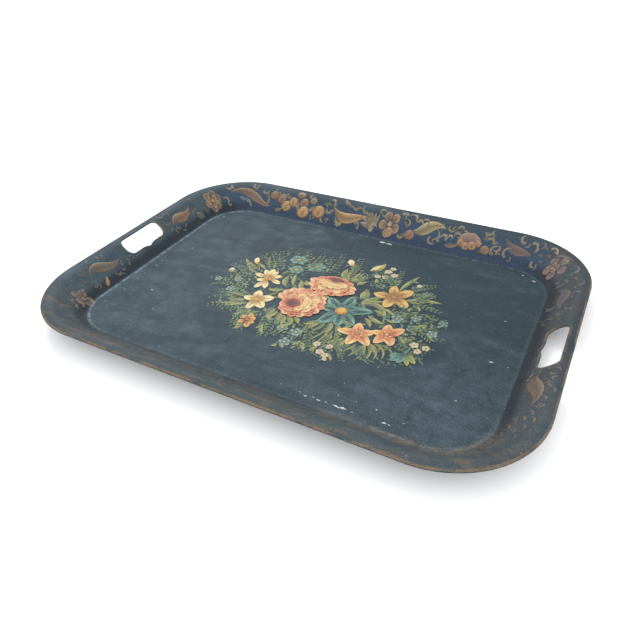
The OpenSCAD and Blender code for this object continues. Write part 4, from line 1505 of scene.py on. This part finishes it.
comma(m, [(124, 11), (136, 6), (152, 20)], 2.2, old_gold, 0.4)
comma(m, [(128, 14), (140, 10), (148, 15)], 1.6, copper, 0.4)
for s in (134, 139, 144):
    comma(m, [(s, 30), (s + 2, 34), (s + 4, 38)], 1.2, faint_brown, 0.5)
m = border_motif("border_shell_right")
blush_bronze = (tint(122, 92, 76), tint(158, 126, 108), tint(178, 148, 124))
for a, r in zip(np.radians([20, 55, 90, 125, 160]), (19, 17, 15, 16, 18)):
    way = np.array([np.cos(a), np.sin(a) * 0.8])
    m.stroke([(160, 18), np.array([160, 20]) + way * r], 7.5, "ruffle", blush_bronze[0],
        blush_bronze[1], edge=blush_bronze[2], wear=0.4)
for a in np.radians(np.linspace(15, 165, 9)):
    m.touch([(160, 16), (160 + 15 * np.cos(a), 18 + 13 * np.sin(a))], 0.7, "blade", copper[0],
        copper[1], 0.4)
for s, o, r in ((148, 17, 5), (157, 14, 5.5), (167, 16, 6), (176, 20, 4.5)):
    berry(m, s, o, r, (copper[0], tint(166, 122, 80), tint(188, 146, 104)), 0.35)
berry(m, 189, 14, 6, copper, 0.4)
comma(m, [(180, 10), (184, 12), (190, 18)], 1.6, copper, 0.5)
m = border_motif("border_leaf_back_right")
curl_stroke(m, 208, 21, 7, 200, 230, 1.8, copper, 0.52)
long_leaf(m, [(214, 36), (230, 14), (246, 24), (264, 20)], 6.2, red_brown, 0.5)
curl_stroke(m, 269, 40, 7, 250, 260, 1.4, faint_brown, 0.6)
for s, o in ((276, 24), (282, 18), (277, 34), (288, 28)):
    comma(m, [(s - 4, o), (s, o + 3), (s + 4, o - 1)], 1.8, faint_brown, 0.6)
m = border_motif("border_corner_flower_right")
border_flower(m, 312, 23, 18, (tint(82, 62, 54), tint(114, 82, 66), tint(126, 94, 76)), 5, 0.2,
    0.58)
border_flower(m, 308, 20, 9, copper, 5, 0.9, 0.6)
comma(m, [(296, 30), (304, 42), (322, 42)], 2.0, faint_brown, 0.6)

# %% The right-hand end
m = border_motif("border_leaf_right_back")
long_leaf(m, [(366, 14), (388, 34), (402, 12), (424, 24)], 7.0, faint_brown, 0.5)
for s, o in ((352, 24), (358, 34), (432, 30), (440, 22), (346, 14)):
    comma(m, [(s - 5, o - 2), (s, o + 3), (s + 5, o)], 1.6, faint_brown, 0.6)
m = border_motif("border_leaf_right_front")
long_leaf(m, [(572, 24), (588, 12), (606, 40), (630, 26)], 8.0,
    (tint(84, 66, 52), tint(124, 96, 70), tint(142, 114, 84)), 0.5)
for k, (s, o) in enumerate(((562, 36), (568, 42), (575, 38), (586, 42), (592, 34), (598, 42),
        (622, 38), (630, 34), (636, 40), (606, 44))):
    curl_stroke(m, s, o, 4.6, 40 * k, 200 if k % 2 else -200, 1.5, faint_brown, 0.5)
for s, o in ((570, 16), (577, 14), (582, 19), (566, 24)):
    comma(m, [(s - 3, o + 3), (s, o), (s + 4, o + 1)], 1.3, copper, 0.45)
m = border_motif("border_sprays_right_front")
for k, (s, o) in enumerate(((642, 30), (648, 24), (655, 34), (650, 16), (660, 12), (668, 20),
        (676, 10), (688, 16), (664, 28), (682, 26))):
    m.stroke([(s - 5, o - 3), (s, o + 3), (s + 6, o + 1)], 1.8 - 0.06 * k, "comma", faint_brown[0],
        copper[1], wear=0.55)
m = border_motif("border_corner_front_right")
border_flower(m, 718, 14, 12, faint_brown, 5, 0.4, 0.55)

# %% The left-hand end
m = border_motif("border_leaf_left_back")
long_leaf(m, [(-450, 20), (-434, 34), (-416, 12), (-392, 33)], 7.5,
    (tint(84, 64, 48), tint(146, 104, 66), tint(160, 122, 82)), 0.5)
berry(m, -386, 11, 6, faint_brown, 0.6)
for k, (s, o) in enumerate(((-460, 14), (-452, 10), (-444, 14), (-437, 9), (-430, 14), (-444, 40),
        (-436, 44))):
    curl_stroke(m, s, o, 5, 50 * k, 180, 1.3, faint_brown, 0.5)
m = border_motif("border_leaf_left_front")
long_leaf(m, [(-642, 26), (-622, 38), (-608, 14), (-580, 24)], 7.0,
    (tint(76, 66, 54), tint(112, 92, 68), tint(126, 106, 80)), 0.52)
m.stroke([(-632, 5), (-625, 8), (-622, 15)], 2.8, "comma", copper[1], gold[1], wear=0.3)
for k, (s, o) in enumerate(((-590, 12), (-583, 16), (-576, 13), (-568, 18), (-562, 15), (-636, 38),
        (-626, 42), (-612, 40), (-600, 38))):
    curl_stroke(m, s, o, 4.8, 35 * k, 190 if k % 2 else -190, 1.2, faint_brown, 0.5)
m = border_motif("border_corner_front_left")
border_flower(m, -686, 10, 15, copper, 5, 0.5, 0.64)
for s, o in ((-704, 18), (-712, 12), (-700, 6), (-672, 16)):
    m.stroke([(s - 6, o - 2), (s, o + 3), (s + 6, o)], 2.0, "comma", faint_brown[0], copper[1],
        wear=0.55)

# %% Fine scrolls that tie the motifs together
for name, run, tones, wear in (("border_scrolls_back_left", [(-312, 16), (-300, 40), (-268, 12),
        (-256, 40), (-236, 34), (-226, 22), (-206, 36), (-188, 36), (-160, 14), (-156, 26),
        (-138, 40), (-136, 22), (-104, 12), (-98, 24), (-94, 38), (-46, 36), (-38, 12), (-26, 34)],
        old_gold, 0.5), ("border_scrolls_back_right", [(2, 36), (42, 38), (44, 12), (62, 38),
        (84, 34), (98, 14), (106, 18), (126, 34), (138, 24), (144, 34), (182, 30), (188, 38),
        (196, 26), (202, 14), (222, 14), (244, 36), (258, 34), (272, 14), (286, 38)], old_gold,
        0.55), ("border_scrolls_right", [(340, 36), (352, 16), (372, 38), (396, 38), (412, 14),
        (430, 36), (446, 26), (448, 14)], faint_brown, 0.6), ("border_scrolls_left",
        [(-384, 26), (-378, 38), (-368, 12), (-396, 16), (-460, 30), (-456, 42), (-648, 14),
        (-660, 26), (-600, 10), (-652, 36)], faint_brown, 0.6)):
    m = border_motif(name + "_a")
    quiet = tuple(tint_of(tone, 0.7) for tone in tones)
    for k, (s, o) in enumerate(run):
        if name.startswith("border_scrolls_back") and k == len(run) // 2:
            m = border_motif(name + "_b")
        curl_stroke(m, s, o, rng.uniform(6.5, 9), rng.uniform(0, 360),
            rng.choice([-1, 1]) * rng.uniform(170, 260), 2.1, quiet, wear)
        curl_stroke(m, s + 6, o - 3, 4.4, rng.uniform(0, 360), 180, 1.4, quiet, wear)

# %% Smears along the front, in short pieces
for number in range(8):
    m = border_motif(f"border_smear_{number + 1}")
    left_end = -1020 + number * 78 if number < 4 else 770 + (number - 4) * 72
    for s, o in zip(left_end + rng.uniform(0, 70, 7), rng.uniform(8, 34, 7)):
        lean = rng.uniform(8, 16) * (-1 if number < 4 else 1)
        m.stroke([(s, o - 7), (s + lean * 0.4, o), (s + lean, o + 8)], rng.uniform(2, 4.5), "leaf",
                 tint(72, 74, 72), tint(84, 80, 72), wear=0.68)
print("border done:", len(motifs), "motifs")

# %% [markdown]
# ## Chips
# Where the lacquer was knocked, the pale primer shows as small ragged spots, mostly just
# inside the crease. A few are laid as real flakes with an uneven outline, in groups.

# %% Chips of bare primer
chip_groups = {"chips_back": [(19, 193, 3.6), (25, 194, 2.0), (32, 192, 3.8), (38, 191, 1.6),
    (-284, 160, 1.2), (258, 188, 1.6)], "chips_front": [(76, -185, 0.9), (85, -188, 1.5),
    (94, -186, 0.9), (102, -188, 1.8), (112, -187, 1.1), (126, -188, 2.9), (134, -187, 2.7),
    (146, -188, 1.0)], "chips_front_right": [(185, -187, 2.2), (192, -188, 1.3), (170, -172, 1.0),
    (120, -170, 0.9), (206, -178, 0.8)], "chips_right": [(266, -32, 1.8), (275, 178, 2.2),
    (262, 60, 1.1), (248, -118, 1.2)], "chips_left": [(-262, 40, 1.2), (-240, -90, 1.4),
    (-205, -128, 1.1), (-282, -30, 1.0)],}
for name, group in chip_groups.items():
    for number, (x, y, r) in enumerate(group):
        m = Motif(f"{name}_{number + 1}", lift=0.02)
        for _ in range(3):
            dx, dy = rng.uniform(-0.6, 0.6, 2) * r * [1.3, 0.5]
            m.touch(bowed((x + dx - r * 1.1, y + dy), (x + dx + r * 1.1, y - dy),
                rng.uniform(-0.2, 0.2)), r * rng.uniform(0.25, 0.45), "ruffle",
                tint(186, 192, 190), tint(206, 210, 206), 0.3)
print("chips done:", len(motifs), "motifs")

# %% Make a piece of each motif, in the order of painting
for m in motifs:
    m.finish(bronze_paint if m.surface is on_rim else oil_paint)
print("painted pieces:", len(motifs))

# %% [markdown]
# ## A floor, soft light and a camera
# A studio shot of a dark, glossy thing on white needs large soft lights: their reflections
# give the lacquer its haze and show the shape of the wall. The floor is pale and plain. The
# camera looks down from the front right, a little rolled, as for a tray lying on a table.

# %% The pale floor
half_floor = 20000.0
sheet_of_paper = make_piece("studio_floor", [[-half_floor, -half_floor, 0],
    [half_floor, -half_floor, 0], [half_floor, half_floor, 0], [-half_floor, half_floor, 0]],
    [[0, 1, 2, 3]])
paper = Finish("pale_paper", None)
for label, value in (("Base Color", (0.97, 0.97, 0.97, 1)), ("Roughness", 0.9),
                     ("Specular IOR Level", 0.1)):
    paper.surface.inputs[label].default_value = value
sheet_of_paper.data.materials.append(paper.material)

# %% Soft light
studio = bpy.data.worlds.new("studio")
bpy.context.scene.world = studio
studio.use_nodes = True
studio.node_tree.nodes["Background"].inputs["Color"].default_value = (0.96, 0.98, 1.0, 1)
studio.node_tree.nodes["Background"].inputs["Strength"].default_value = 1.2


def soft_light(name, place, aim, size, power):
    """A square area light at a place, turned to face its aim."""
    light = bpy.data.lights.new(name, "AREA")
    light.size, light.energy = size, power
    lamp = bpy.data.objects.new(name, light)
    bpy.context.scene.collection.objects.link(lamp)
    back = Vector(place) - Vector(aim)
    turn = back.to_track_quat("Z", "Y").to_matrix().to_4x4()
    lamp.matrix_world = Matrix.Translation(place) @ turn


soft_light("window_light", (-1.4, 1.5, 2.1), (0, 0, 0), 1.6, 44)
soft_light("front_fill", (1.2, -1.6, 1.8), (0, 0, 0), 1.8, 12)
soft_light("low_fill", (0.5, -2.0, 0.5), (0, -0.2, 0), 1.4, 16)

# %% The camera
look_azimuth, look_elevation, look_roll = np.radians(29.37), np.radians(36.84), np.radians(-2.32)
look_distance, look_across, look_up = 858.2, 4.13, -33.12
back = np.array([np.sin(look_azimuth) * np.cos(look_elevation),
                 -np.cos(look_azimuth) * np.cos(look_elevation), np.sin(look_elevation)])
level = np.cross([0, 0, 1], back)
level /= np.linalg.norm(level)
upright = np.cross(back, level)
right = np.cos(look_roll) * level + np.sin(look_roll) * upright
up = -np.sin(look_roll) * level + np.cos(look_roll) * upright
eye = back * look_distance + right * look_across + up * look_up + [0, 0, sheet_t]
turn = Matrix([[right[i], up[i], back[i]] for i in range(3)]).to_4x4()
camera = bpy.data.objects.new("camera", bpy.data.cameras.new("camera"))
camera.data.lens, camera.data.sensor_width = 32.59, 36.0
camera.matrix_world = Matrix.Translation(eye * MM) @ turn
bpy.context.scene.collection.objects.link(camera)
bpy.context.scene.camera = camera
bpy.context.scene.view_settings.view_transform = "Standard"
print("camera at", np.round(eye), "mm")
